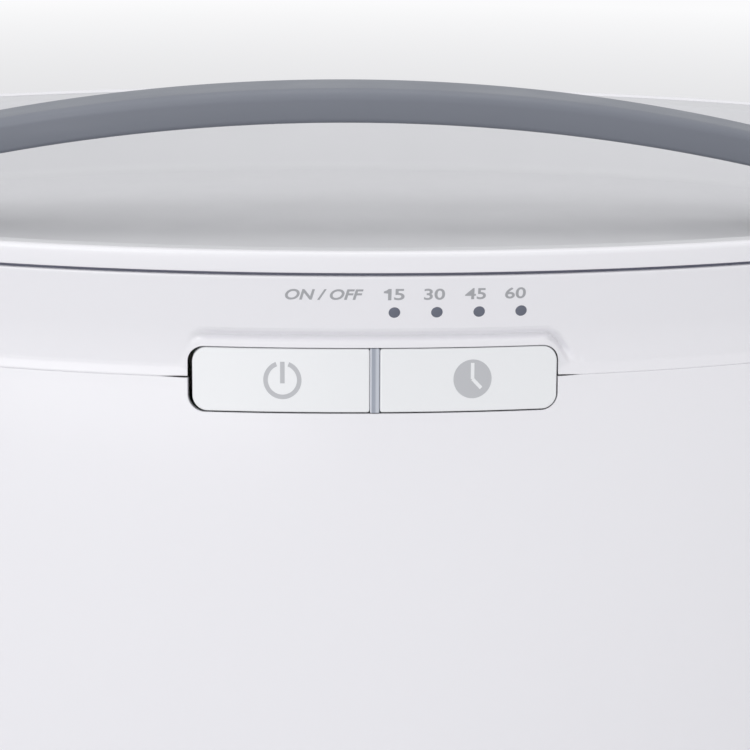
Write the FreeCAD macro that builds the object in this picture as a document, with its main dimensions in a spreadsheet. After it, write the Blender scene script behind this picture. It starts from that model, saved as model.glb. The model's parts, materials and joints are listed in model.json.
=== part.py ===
"""An oval table-top paraffin wax bath, as a parametric FreeCAD document in millimetres.

X runs along the bath, the buttons face -Y and Z is up from the table. Almost every moulding is a stack of
ellipses. An ellipse is given by its inset, the distance that both its half-axes lie inside the rim's outline.
"""
import FreeCAD, Part
import os
import re

SIZES = {
    # rim and feet
    "rim_half_length": 190,
    "rim_half_depth": 115,
    "rim_height": 185.2,
    "foot_height": 3,
    "foot_radius": 9,
    "foot_across": 115,
    "foot_along_depth": 52,
    # lower body
    "belly_height": 95,
    "body_wall": 2.5,
    "bottom_tuck": 14,
    "seam_inset": 2.2,
    "seam_lean": 0.162,
    "seam_gap": 0.3,
    "flush_reach": 15,
    "inner_flange": 2.5,
    "inner_flange_width": 10,
    "inner_flange_drop": 5.5,
    "inner_flange_bite": 1,
    "inner_flange_gap_margin": 8,
    "front_cut_depth": 40,
    "rib_length": 14,
    "rib_thickness": 2,
    # control collar
    "collar_height": 21.5,
    "collar_wall": 2.5,
    "ledge_height": 1.9,
    "ledge_depth": 3.4,
    "rim_width": 9,
    "rim_thickness": 2.5,
    "funnel_run": 9,
    "funnel_drop": 7.4,
    "funnel_wall": 2.8,
    "tank_land_width": 5.5,
    "tank_land_thickness": 2.4,
    "collar_boss_inset": 9,
    "collar_screw_share": 0.6,
    "hood_half_width": 38.5,
    "hood_top": 8.9,
    "hood_draft": 4,
    "hood_depth": 8,
    "hood_corner": 6,
    # buttons and lights
    "window_half_width": 37,
    "window_above_seam": 6.15,
    "window_below_seam": 6.25,
    "window_corner": 3.4,
    "button_gap": 0.35,
    "button_side_gap": 1.05,
    "button_foot_gap": 0.6,
    "button_depth": 4.9,
    "button_corner": 3,
    "button_travel_room": 0.8,
    "button_lip": 1.2,
    "button_lip_margin": 4,
    "lip_setback": 4,
    "button_nib_radius": 2,
    "button_nib": 2,
    "bar_width": 1.7,
    "bar_offset": 0.35,
    "dot_radius": 1.15,
    "dot_height": 13.8,
    "dot_first": 4.2,
    "dot_pitch": 8.45,
    "lens_half_height": 1.3,
    "lens_strip": 1.2,
    "lens_play": 0.3,
    "lens_end_margin": 1.7,
    # control board
    "board_inset": 10.5,
    "board_thickness": 1.6,
    "board_half_length": 36,
    "board_above_seam": 15.1,
    "board_below_seam": 13.5,
    "board_screw_across": 33.5,
    "board_screw_margin": 3,
    "board_screw_drop": 2.2,
    "board_boss_radius": 2.2,
    "board_screw_radius": 1,
    "board_screw_head_radius": 1.9,
    "board_screw_head": 1,
    "board_screw_length": 5,
    "switch_width": 6,
    "switch_height": 1.8,
    "switch_case": 1.2,
    "plunger_radius": 1.5,
    "lamp_height": 1.4,
    "lamp_width": 2,
    "dot_lamp_height": 1.6,
    "lamp_gap": 0.3,
    "chip_offset": 12,
    "chip_length": 9,
    "chip_width": 6,
    "chip_height": 1.6,
    # tank
    "tank_depth": 86,
    "tank_wall": 1.2,
    "tank_slope": 0.12,
    "tank_corner": 14,
    "tank_mouth_inset": 21,
    "tank_screw_margin": 2.4,
    "tank_screw_near": 0.3,
    "tank_screw_far": 0.85,
    "gasket_thickness": 0.8,
    "insulation_thickness": 4.5,
    "insulation_top": 6,
    "insulation_height": 66,
    # heater
    "spreader_thickness": 1.5,
    "spreader_half_length": 130,
    "spreader_half_depth": 56,
    "mat_thickness": 2.4,
    "mat_margin": 4,
    "mat_width": 34,
    "thermostat_radius": 9,
    "thermostat_height": 7,
    "thermostat_offset": 30,
    "tab_width": 6,
    "tab_thickness": 0.8,
    "fuse_offset": 20,
    "fuse_length": 24,
    "fuse_width": 10,
    "fuse_height": 6,
    "fuse_tail": 5,
    "fuse_wire": 1,
    "sensor_offset": 55,
    "sensor_length": 12,
    "sensor_width": 10,
    "sensor_height": 2,
    "sensor_bead_radius": 2.4,
    "sensor_bead_height": 6,
    # lift-out grille
    "grille_clearance": 5,
    "grille_thickness": 3,
    "grille_foot": 3,
    "grille_bar": 2.4,
    "grille_pitch": 21,
    "grille_edge": 4,
    "grille_leg_radius": 3,
    # lid
    "seal_gap": 0.7,
    "seal_inset": 1.2,
    "seal_width": 3,
    "seal_groove": 1.3,
    "lid_ring_height": 4.1,
    "lid_ring_top": 1.6,
    "lid_ring_skirt": 2.6,
    "lid_ring_roll": 2.1,
    "lid_ring_crown": 3,
    "lid_ring_width": 3.4,
    "dish_depth": 20,
    "dish_floor_inset": 34,
    "dish_wall": 2.5,
    "dish_corner": 8,
    "panel_flange": 1.6,
    "dish_lip_drop": 0.6,
    "dish_lip_width": 0.3,
    "dish_brink_inset": 9.9,
    "dish_brink_drop": 0.5,
    # handle
    "handle_height": 16.9,
    "handle_thickness": 8.4,
    "handle_width": 22,
    "handle_arc": 492,
    "handle_end_room": 6,
    "handle_end_round": 9,
    "handle_edge_round": 4,
    "handle_foot": 17,
    "handle_foot_bite": 1,
    "handle_cut_height": 60,
    # base
    "base_thickness": 2.5,
    "base_clearance": 0.3,
    "base_boss_radius": 4,
    "base_boss_height": 15,
    "base_boss_inset": 4,
    "foot_stem_radius": 3,
    "foot_barb_radius": 3.8,
    "foot_barb": 1.2,
    "base_boss_across": 70,
    "standoff_height": 8,
    "standoff_radius": 3.5,
    "vent_length": 26,
    "vent_width": 2.4,
    "vent_pitch": 6,
    "vent_first": 82,
    # power board
    "power_board_length": 96,
    "power_board_depth": 62,
    "power_board_margin": 6,
    "transformer_offset": 18,
    "core_length": 32,
    "core_depth": 26,
    "core_height": 22,
    "coil_length": 22,
    "coil_depth": 34,
    "coil_height": 14,
    "relay_offset": 16,
    "relay_setback": 20,
    "relay_length": 19,
    "relay_width": 15,
    "capacitor_radius": 6,
    "capacitor_height": 20,
    "capacitor_setback": 8,
    "terminal_setback": 20,
    "terminal_depth": 9,
    "terminal_height": 11,
    "terminal_pitch": 8,
    "terminal_mouth": 5,
    # cord gland
    "gland_height": 26,
    "gland_bore": 3.6,
    "gland_radius": 7,
    "gland_flange": 10,
    "gland_flange_thickness": 2,
    "gland_pad_radius": 13,
    "gland_pad_proud": 3.2,
    "gland_pad_depth": 12,
    "gland_nut_thickness": 4,
    # fasteners
    "screw_radius": 1.5,
    "screw_head_radius": 3,
    "screw_head": 1.8,
    "screw_play": 0.05,
    "screw_bite": 8,
    "small_screw_radius": 1.25,
    "small_screw_head_radius": 2.2,
    "small_screw_head": 1.5,
    "boss_radius": 3,
    "fit_play": 0.15,
}

# Places worked out from the sizes. Each may name sizes and other places.
PLACES = {
    "seam": "rim_height - collar_height",
    "belly_inset": "seam_inset - seam_lean*(seam - belly_height)/2",
    "ledge_top": "seam + ledge_height",
    "ledge_inset": "seam_inset + ledge_depth",
    "face_slope": "ledge_inset/(rim_height - ledge_top)",
    "rim_underside": "rim_height - rim_thickness",
    "rim_inner_inset": "collar_wall + face_slope*rim_thickness",
    "funnel_inset": "rim_width + funnel_run",
    "tank_seat": "rim_height - funnel_drop - funnel_wall",
    "tank_land_inset": "funnel_inset - tank_land_width",
    "flange_top": "tank_seat - gasket_thickness",
    "flange_under": "flange_top - tank_wall",
    "tank_floor": "flange_top - tank_depth",
    "tank_floor_inset": "tank_mouth_inset + tank_slope*tank_depth",
    "tank_under": "tank_floor - tank_wall",
    "tank_outer_inset": "tank_mouth_inset - tank_wall",
    "window_foot": "seam - window_below_seam",
    "window_height": "window_above_seam + window_below_seam",
    "button_foot": "window_foot + button_foot_gap",
    "button_height": "window_height - button_gap - button_foot_gap",
    "board_face": "board_inset - rim_half_depth",
    "board_back": "board_face + board_thickness",
    "board_foot": "seam - board_below_seam",
    "dot_level": "seam + dot_height",
    "switch_level": "seam",
    "lid_seat": "rim_height + seal_gap",
    "lid_top": "lid_seat + lid_ring_height",
    "dish_floor": "lid_top - dish_depth",
    "dish_under": "dish_floor - dish_wall",
    "dish_lip": "lid_top - dish_lip_drop",
    "dish_lip_inset": "lid_ring_width + fit_play",
    "flange_foot": "panel_seat - panel_flange",
    "panel_seat": "lid_top - lid_ring_top",
    "handle_half_span": "rim_half_length - dish_floor_inset - handle_end_room",
    "handle_top": "lid_top + handle_height",
    "handle_centre": "handle_top - handle_arc",
    "base_top": "foot_height + base_thickness",
    "body_foot_inset": "belly_inset + bottom_tuck",
    "base_inset": "body_foot_inset + body_wall + base_clearance",
    "base_boss_end_x": "rim_half_length - base_inset - base_boss_inset",
    "base_boss_end_y": "rim_half_depth - base_inset - base_boss_inset",
    "board_level": "base_top + standoff_height",
    "power_level": "board_level + board_thickness",
    "inner_flange_top": "seam - inner_flange_drop",
    "inner_flange_outer": "seam_inset + inner_flange_bite",
    "tank_screw_inset": "tank_land_inset + tank_screw_margin",
    "collar_x": "collar_screw_share*rim_half_length",
    "gland_part": "(belly_height - gland_height)/(belly_height - foot_height)",
    "gland_face_y": "rim_half_depth - belly_inset - bottom_tuck*gland_part^2 + gland_pad_proud",
    "board_top_screw": "dot_level - board_screw_drop",
    "board_low_screw": "board_foot + board_screw_margin",
    "lamp_face": "board_face - lamp_height",
    "lens_inset": "collar_wall + face_slope*(collar_height - dot_height + lens_half_height)",
    "lens_end": "dot_first + 3*dot_pitch + lens_end_margin",
    "spreader_under": "tank_under - spreader_thickness",
    "mat_under": "spreader_under - mat_thickness",
    "grille_under": "tank_floor + grille_foot",
    "grille_inset": "tank_floor_inset + grille_clearance",
    "handle_foot_height": "handle_foot_arc + handle_centre - dish_floor + handle_foot_bite",
    "handle_foot_arc": "sqrt((handle_arc - handle_thickness)^2 - (handle_half_span - handle_foot)^2)",
    "gland_barrel_length": "gland_pad_depth + gland_pad_proud + gland_nut_thickness + gland_flange_thickness",
}

doc = FreeCAD.newDocument("ParaffinWaxBath")
sheet = doc.addObject("Spreadsheet::Sheet", "Sizes")
for row, (alias, size) in enumerate(SIZES.items(), start=1):
    sheet.set(f"A{row}", str(size))
    sheet.setAlias(f"A{row}", alias)
doc.recompute()

nodes = []


# ---------------------------------------------------------------- formulas
def formula(text):
    """Spell a formula for FreeCAD: each place becomes its own formula and each size becomes its cell."""
    def spell(match):
        word = match.group(0)
        if word in PLACES:
            return "(" + formula(PLACES[word]) + ")"
        return "Sizes." + word if word in SIZES else word
    return re.sub(r"[A-Za-z_]\w*", spell, str(text))


def value(text):
    """The number that a formula gives, read from the sheet, for fillets and for counting copies."""
    known = {alias: sheet.get(alias) for alias in SIZES}

    def number(match):
        word = match.group(0)
        return "(" + number_of(PLACES[word]) + ")" if word in PLACES else repr(float(known[word]))

    def number_of(words):
        return re.sub(r"[A-Za-z_]\w*", number, words)
    return float(FreeCAD.Units.Quantity(number_of(text)).Value)


def bind(thing, **formulas):
    for prop, text in formulas.items():
        thing.setExpression(prop, formula(text))
    return thing


def put(thing, x="0", y="0", z="0"):
    for axis, text in zip("xyz", (x, y, z)):
        thing.setExpression(".Placement.Base." + axis, formula(text))
    return thing


def new(kind, name):
    return doc.addObject(kind, name)


# ---------------------------------------------------------------- shapes
def oval(inset, height):
    ellipse = bind(new("Part::Ellipse", "oval"),
                   MajorRadius=f"rim_half_length - ({inset})", MinorRadius=f"rim_half_depth - ({inset})")
    return put(ellipse, z=height)


def plug(name, *sections, smooth=False):
    """A solid through ellipses, each given as (inset, height), with straight or smooth sides."""
    loft = new("Part::Loft", name)
    loft.Sections = [oval(inset, height) for inset, height in sections]
    loft.Solid = True
    loft.Ruled = not smooth
    return loft


def block(name, x, y, z, length, width, height):
    """A box from its middle in X, its front face in Y and its foot in Z."""
    box = bind(new("Part::Box", name), Length=length, Width=width, Height=height)
    return put(box, f"({x}) - ({length})/2", y, z)


def rod(name, radius, length, x="0", y="0", z="0", along="z"):
    cylinder = bind(new("Part::Cylinder", name), Radius=radius, Height=length)
    if along == "y":
        cylinder.Placement = FreeCAD.Placement(FreeCAD.Vector(), FreeCAD.Rotation(FreeCAD.Vector(1, 0, 0), -90))
    return put(cylinder, x, y, z)


def join(name, *pieces):
    fused = new("Part::MultiFuse", name)
    fused.Shapes = list(pieces)
    return fused


def group(name, *pieces):
    """Separate solids that share one node."""
    compound = new("Part::Compound", name)
    compound.Links = list(pieces)
    return compound


def cut(name, base, *tools):
    result = new("Part::Cut", name)
    result.Base = base
    result.Tool = tools[0] if len(tools) == 1 else join(name + "_tools", *tools)
    return result


def common(name, first, second):
    result = new("Part::Common", name)
    result.Base = first
    result.Tool = second
    return result


def rounded(name, base, radius, chosen):
    """Fillet the edges that chosen(edge) picks."""
    doc.recompute()
    size = value(radius)
    fillet = new("Part::Fillet", name)
    fillet.Base = base
    fillet.Edges = [(i, size, size) for i, edge in enumerate(base.Shape.Edges, start=1) if chosen(edge)]
    return fillet


def runs_along(axis, edge):
    box = edge.BoundBox
    spans = {"x": box.XLength, "y": box.YLength, "z": box.ZLength}
    return all(length < 0.01 for other, length in spans.items() if other != axis)


def node(label, thing):
    thing.Label = label
    nodes.append(thing)
    return thing


def oval_y(inset, x):
    """The formula of an ellipse's depth at x."""
    return f"(rim_half_depth - ({inset}))*sqrt(1 - (({x})/(rim_half_length - ({inset})))^2)"


def screw(name, x, y, head_top, length, radius="screw_radius", head="screw_head_radius"):
    """A screw driven upwards, with the top of its head at head_top."""
    shank = rod(name + "_shank", radius, f"{length} + 0.5", x, y, f"{head_top} - 0.5")
    cap = rod(name + "_head", head, "screw_head", x, y, f"{head_top} - screw_head")
    return join(name, shank, cap)


# ---------------------------------------------------------------- surfaces that pieces share
def flush_plug(name, depth="0"):
    """The lower body's lean carried straight through the seam: hood and buttons lie in it."""
    return plug(name,
                (f"seam_inset - seam_lean*flush_reach + ({depth})", "seam - flush_reach"),
                (f"seam_inset + seam_lean*flush_reach + ({depth})", "seam + flush_reach"))


def collar_plug(name):
    return plug(name, ("seam_inset", "seam"), ("ledge_inset", "ledge_top"), ("0", "rim_height"))


def body_plug(name, depth="0"):
    """The bulging body: its inset grows with the square of the distance from the belly."""
    below = [(f"belly_inset + bottom_tuck*({part})^2 + {depth}",
              f"belly_height - (belly_height - foot_height)*({part})") for part in ("1", "1/2", "0")]
    above = [(f"belly_inset + (seam_inset - belly_inset)*({part})^2 + {depth}",
              f"belly_height + (seam - seam_gap - belly_height)*({part})") for part in ("1/2", "1")]
    return plug(name, *below, *above, smooth=True)


def window(name):
    opening = block(name + "_box", "0", "-rim_half_depth", "window_foot",
                    "2*window_half_width", "front_cut_depth/2", "window_height")
    return rounded(name, opening, "window_corner", lambda edge: runs_along("y", edge))


def collar_screw_places():
    """Six places round the rim, clear of the buttons."""
    for side in ("-1", "1"):
        yield f"{side}*(rim_half_length - collar_boss_inset)", "0"
        for face in ("-1", "1"):
            x = f"{side}*collar_x"
            yield x, f"{face}*" + oval_y("collar_boss_inset", x)


def tank_screw_places():
    for side in ("-1", "1"):
        for share in ("tank_screw_near", "tank_screw_far"):
            for face in ("-1", "1"):
                x = f"{side}*{share}*rim_half_length"
                yield x, f"{face}*" + oval_y("tank_screw_inset", x)


def base_screw_places():
    """Two at the ends of the oval and four along its sides: x, y and which way the wall lies."""
    for side in ("-1", "1"):
        yield f"{side}*base_boss_end_x", "0", "x", side
        for face in ("-1", "1"):
            x = f"{side}*base_boss_across"
            yield x, f"{face}*base_boss_end_y*sqrt(1 - (base_boss_across/base_boss_end_x)^2)", "y", face


# ---------------------------------------------------------------- lower body
def lower_body_shell():
    outside = body_plug("body_outside")
    hollow = body_plug("body_hollow", "body_wall")
    shell = cut("body_wall_shell", outside, hollow)

    ledge = cut("body_flange",
                plug("body_flange_outside", ("inner_flange_outer", "inner_flange_top - inner_flange"),
                     ("inner_flange_outer", "inner_flange_top")),
                plug("body_flange_inside", ("seam_inset + inner_flange_width", "inner_flange_top - inner_flange"),
                     ("seam_inset + inner_flange_width", "inner_flange_top")),
                block("body_flange_gap", "0", "-rim_half_depth", "inner_flange_top - 2*inner_flange",
                      "2*(window_half_width + inner_flange_gap_margin)", "front_cut_depth", "4*inner_flange"),
                *[rod("collar_screw_hole", "screw_radius + screw_play", "4*inner_flange", x, y,
                      "inner_flange_top - 2*inner_flange") for x, y in collar_screw_places()])

    bosses = []
    for x, y, along, side in base_screw_places():
        bosses.append(rod("base_boss", "base_boss_radius", "base_boss_height", x, y, "base_top"))
        if along == "x":
            bosses.append(block("base_rib", f"{x} + {side}*rib_length/2", "-rib_thickness/2", "base_top",
                                "rib_length", "rib_thickness", "base_boss_height"))
        else:
            bosses.append(block("base_rib", x, f"{y} - rib_length/2 + {side}*rib_length/2", "base_top",
                                "rib_thickness", "rib_length", "base_boss_height"))
    pad = rod("gland_pad", "gland_pad_radius", "gland_pad_depth + gland_pad_proud", "0",
              "gland_face_y - gland_pad_depth - gland_pad_proud", "gland_height", "y")
    board_bosses = [rod("board_boss", "board_boss_radius",
                        f"board_face + {oval_y('seam_inset', 'board_screw_across')} - 1",
                        f"{side}*board_screw_across", f"1 - {oval_y('seam_inset', 'board_screw_across')}",
                        "board_low_screw", "y") for side in ("-1", "1")]
    inner = common("body_inner_parts", join("body_inner_raw", ledge, *bosses, *board_bosses),
                   body_plug("body_trim", "body_wall/2"))
    whole = join("body_whole", shell, inner, pad)
    holes = [rod("base_screw_hole", "screw_radius + screw_play", "base_boss_height", x, y, "base_top - 1")
             for x, y, _, _ in base_screw_places()]
    holes.append(rod("gland_hole", "gland_radius + fit_play", "3*gland_pad_depth", "0",
                     "gland_face_y - 2*gland_pad_depth", "gland_height", "y"))
    holes += [rod("board_screw_hole", "board_screw_radius + screw_play", "board_screw_length - 1",
                  f"{side}*board_screw_across", "board_face - board_screw_length + 1", "board_low_screw", "y")
              for side in ("-1", "1")]
    node("lower_body_shell", cut("body", whole, window("body_window"), *holes))


# ---------------------------------------------------------------- control collar
def control_collar():
    cavity = plug("collar_cavity",
                  ("seam_inset + collar_wall", "seam"), ("ledge_inset + collar_wall", "ledge_top"),
                  ("rim_inner_inset", "rim_underside"))
    mouth = plug("collar_mouth", ("rim_width", "rim_underside"), ("rim_width", "rim_height"))
    skin = cut("collar_skin", collar_plug("collar_outside"), cavity, mouth)

    lower_cone = plug("funnel_outside", ("rim_width - 0.5", "rim_height"),
                      ("rim_width - 0.5", "rim_height - funnel_wall"), ("funnel_inset", "tank_seat"))
    upper_cone = plug("funnel_inside", ("rim_width", "rim_height"),
                      ("funnel_inset", "rim_height - funnel_drop"), ("funnel_inset", "tank_seat"))
    funnel = cut("collar_funnel", lower_cone, upper_cone)
    land = cut("tank_land", plug("tank_land_outside", ("tank_land_inset", "tank_seat"),
                                 ("tank_land_inset", "tank_seat + tank_land_thickness")),
               plug("tank_land_inside", ("funnel_inset", "tank_seat"),
                    ("funnel_inset", "tank_seat + tank_land_thickness")))

    wedge = bind(new("Part::Wedge", "hood_wedge"),
                 Xmin="-hood_half_width", Xmax="hood_half_width", Ymin="0", Ymax="hood_depth",
                 Zmin="0", Zmax="hood_top",
                 X2min="-hood_half_width - hood_draft", X2max="hood_half_width + hood_draft",
                 Z2min="0", Z2max="hood_top + hood_draft")
    put(wedge, y="-rim_half_depth - 1", z="seam")
    softened = rounded("hood_wedge_round", wedge, "hood_corner",
                       lambda edge: edge.BoundBox.ZMin > value("seam") + 0.1 and edge.BoundBox.YLength > 1)
    hood = cut("hood", common("hood_flush", softened, flush_plug("hood_surface")),
               plug("hood_back", ("seam_inset + collar_wall", "seam"), ("ledge_inset + collar_wall", "ledge_top"),
                    ("rim_inner_inset", "rim_underside")))

    bosses = [rod("collar_boss", "boss_radius", "rim_underside - inner_flange_top", x, y, "inner_flange_top")
              for x, y in collar_screw_places()]
    board_bosses = [rod("board_boss", "board_boss_radius",
                        f"board_face + {oval_y('collar_wall', 'board_screw_across')} - 1",
                        f"{side}*board_screw_across", f"1 - {oval_y('collar_wall', 'board_screw_across')}",
                        "board_top_screw", "y") for side in ("-1", "1")]
    groove = cut("seal_groove", plug("groove_outside", ("seal_inset", "rim_height - seal_groove"),
                                     ("seal_inset", "rim_height")),
                 plug("groove_inside", ("seal_inset + seal_width", "rim_height - seal_groove"),
                      ("seal_inset + seal_width", "rim_height")))
    holes = [rod("collar_screw_pilot", "screw_radius + screw_play", "screw_bite + 2", x, y, "inner_flange_top - 1")
             for x, y in collar_screw_places()]
    holes += [rod("board_screw_pilot", "board_screw_radius + screw_play", "board_screw_length - 1",
                  f"{side}*board_screw_across", "board_face - board_screw_length + 1", "board_top_screw", "y")
              for side in ("-1", "1")]
    holes += [rod("tank_screw_pilot", "small_screw_radius + screw_play", "tank_land_thickness - 0.2", x, y,
                  "tank_seat - 0.2")
              for x, y in tank_screw_places()]
    holes += [rod("dot_hole", "dot_radius + screw_play", "front_cut_depth/4", f"dot_first + {k}*dot_pitch",
                  "-rim_half_depth", "dot_level", "y") for k in range(4)]
    whole = join("collar_whole", skin, funnel, land, hood, *bosses, *board_bosses)
    node("control_collar", cut("collar", whole, groove, window("collar_window"), *holes))


def rim_seal():
    ring = cut("rim_seal_ring",
               plug("rim_seal_outside", ("seal_inset", "rim_height - seal_groove"), ("seal_inset", "lid_seat")),
               plug("rim_seal_inside", ("seal_inset + seal_width", "rim_height - seal_groove"),
                    ("seal_inset + seal_width", "lid_seat")))
    node("rim_seal", ring)


def collar_screws():
    node("collar_screws", group("collar_screw_set", *[
        screw("collar_screw", x, y, "inner_flange_top - inner_flange", "inner_flange + screw_bite")
        for x, y in collar_screw_places()]))


# ---------------------------------------------------------------- buttons and lights
def button(label, left, right, outer_sign):
    """One flush button: a rounded face, a lip above and below behind the wall, and a nib for its switch."""
    width = f"({right}) - ({left})"
    middle = f"(({left}) + ({right}))/2"
    face_box = block(label + "_box", middle, "-rim_half_depth", "button_foot", width, "front_cut_depth/2",
                     "button_height")
    doc.recompute()
    outer_x = value(f"{outer_sign}*window_half_width")
    face_box = rounded(label + "_round", face_box, "button_corner",
                       lambda edge: runs_along("y", edge) and abs(edge.BoundBox.XMin - outer_x) < 5)
    layer = cut(label + "_layer", flush_plug(label + "_front"), flush_plug(label + "_back", "button_depth"))
    face = common(label + "_face", face_box, layer)
    lip_box = block(label + "_lip_box", middle, "-rim_half_depth", "window_foot - button_lip",
                    f"{width} - 2*button_lip_margin", "front_cut_depth/2", "window_height + 2*button_lip")
    lip_layer = cut(label + "_lip_layer", flush_plug(label + "_lip_front", "lip_setback"),
                    flush_plug(label + "_lip_back", "button_depth"))
    lip = common(label + "_lip", lip_box, lip_layer)
    nib = rod(label + "_nib", "button_nib_radius", "button_nib", middle,
              "board_face - switch_height - button_travel_room - button_nib", "switch_level", "y")
    node(label, join(label + "_whole", face, lip, nib))


def buttons():
    bar_left = "bar_offset - bar_width/2 - button_gap"
    bar_right = "bar_offset + bar_width/2 + button_gap"
    button("power_button", "button_side_gap - window_half_width", bar_left, "-1")
    button("timer_button", bar_right, "window_half_width - button_gap", "1")


def button_light_bar():
    bar = block("light_bar_box", "bar_offset", "-rim_half_depth", "window_foot + fit_play",
                "bar_width", "board_face + rim_half_depth", "window_height - 2*fit_play")
    notch = block("light_bar_notch", "bar_offset", "lamp_face - lamp_gap", "seam - lamp_width",
                  "2*bar_width", "2*lamp_width", "2*lamp_width")
    node("button_light_bar", cut("light_bar", common("light_bar_flush", bar, flush_plug("light_bar_front")), notch))


def indicator_lens():
    pins = [rod("dot_pin", "dot_radius", "front_cut_depth/2", f"dot_first + {k}*dot_pitch",
                "lamp_face - lamp_gap - front_cut_depth/2", "dot_level", "y") for k in range(4)]
    strip = block("dot_strip", "dot_first + 1.5*dot_pitch", f"lens_play - {oval_y('lens_inset', 'lens_end')}",
                  "dot_level - lens_half_height", "3*dot_pitch + 2*lens_end_margin", "lens_strip",
                  "2*lens_half_height")
    node("indicator_lens", join("lens", strip, common("lens_pins", join("lens_pin_set", *pins),
                                                      collar_plug("lens_trim"))))


def indicator_leds():
    node("indicator_leds", group("led_set", *[
        block("led", f"dot_first + {k}*dot_pitch", "lamp_face", "dot_level - dot_lamp_height/2",
              "lamp_width", "lamp_height", "dot_lamp_height") for k in range(4)]))
    node("status_led", block("bar_led", "bar_offset", "lamp_face", "seam - lamp_width/2",
                             "lamp_width", "lamp_height", "lamp_width"))


def control_board():
    board = block("control_board_blank", "0", "board_face", "board_foot", "2*board_half_length",
                  "board_thickness", "board_below_seam + board_above_seam")
    holes = [rod("board_hole", "board_screw_radius + screw_play", "2*board_thickness",
                 f"{side}*board_screw_across", "board_face - board_thickness/2", level, "y")
             for side in ("-1", "1") for level in ("board_top_screw", "board_low_screw")]
    node("control_board", cut("control_board_drilled", board, *holes))
    screws = []
    for side in ("-1", "1"):
        for level in ("board_top_screw", "board_low_screw"):
            x = f"{side}*board_screw_across"
            shank = rod("board_screw_shank", "board_screw_radius", "board_screw_length", x,
                        "board_back - board_screw_length", level, "y")
            head = rod("board_screw_cap", "board_screw_head_radius", "board_screw_head", x, "board_back", level, "y")
            screws.append(join("board_screw", shank, head))
    node("control_board_screws", group("control_board_screw_set", *screws))
    middle = {"power_switch": "(button_side_gap - window_half_width + bar_offset - bar_width/2 - button_gap)/2",
              "timer_switch": "(window_half_width - button_gap + bar_offset + bar_width/2 + button_gap)/2"}
    for label, x in middle.items():
        case = block(label + "_case", x, "board_face - switch_case", "switch_level - switch_width/2",
                     "switch_width", "switch_case", "switch_width")
        plunger = rod(label + "_plunger", "plunger_radius", "switch_height - switch_case/2", x,
                      "board_face - switch_height", "switch_level", "y")
        node(label, join(label + "_whole", case, plunger))
    node("control_chip", block("chip", "chip_offset", "board_back", "board_low_screw", "chip_length", "chip_height",
                               "chip_width"))


# ---------------------------------------------------------------- tank and heater
def wax_tank():
    outside = plug("tank_outside", ("tank_outer_inset", "flange_top"),
                   ("tank_outer_inset + tank_slope*(tank_depth + tank_wall)", "tank_under"))
    inside = plug("tank_inside", ("tank_mouth_inset", "flange_top"), ("tank_floor_inset", "tank_floor"))
    low = value("tank_floor")
    outside = rounded("tank_outside_round", outside, "tank_corner + tank_wall",
                      lambda edge: edge.BoundBox.ZMax < low + 0.01)
    inside = rounded("tank_inside_round", inside, "tank_corner", lambda edge: edge.BoundBox.ZMax < low + 0.01)
    flange = plug("tank_flange", ("tank_land_inset", "flange_under"), ("tank_land_inset", "flange_top"))
    holes = [rod("tank_screw_hole", "small_screw_radius + screw_play", "4", x, y, "flange_under - 1")
             for x, y in tank_screw_places()]
    node("wax_tank", cut("tank", join("tank_solid", outside, flange), inside, *holes))

    gasket = cut("gasket",
                 plug("gasket_outside", ("tank_land_inset", "flange_top"), ("tank_land_inset", "tank_seat")),
                 plug("gasket_inside", ("funnel_inset", "flange_top"), ("funnel_inset", "tank_seat")),
                 *[rod("gasket_hole", "small_screw_radius + screw_play", "4", x, y, "flange_top - 1")
                   for x, y in tank_screw_places()])
    node("tank_gasket", gasket)
    node("tank_screws", group("tank_screw_set", *[
        screw("tank_screw", x, y, "flange_under", "tank_wall + gasket_thickness + tank_land_thickness - 0.6",
              "small_screw_radius", "small_screw_head_radius")
        for x, y in tank_screw_places()]))


def insulation_blanket():
    top = "flange_under - insulation_top"
    foot = "flange_under - insulation_top - insulation_height"
    drop_top = "tank_outer_inset + tank_slope*(insulation_top + tank_wall)"
    drop_foot = "tank_outer_inset + tank_slope*(insulation_top + insulation_height + tank_wall)"
    node("insulation_blanket", cut(
        "blanket",
        plug("blanket_outside", (f"{drop_top} - insulation_thickness", top),
             (f"{drop_foot} - insulation_thickness", foot)),
        plug("blanket_inside", (f"{drop_top} - fit_play", top), (f"{drop_foot} - fit_play", foot))))


def flat_oval(name, half_length, half_depth, foot, height):
    """An upright elliptical disc with half-axes of its own."""
    sections = []
    for level in (foot, f"{foot} + {height}"):
        ellipse = bind(new("Part::Ellipse", "oval"), MajorRadius=half_length, MinorRadius=half_depth)
        sections.append(put(ellipse, z=level))
    loft = new("Part::Loft", name)
    loft.Sections = sections
    loft.Solid = True
    loft.Ruled = True
    return loft


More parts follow.
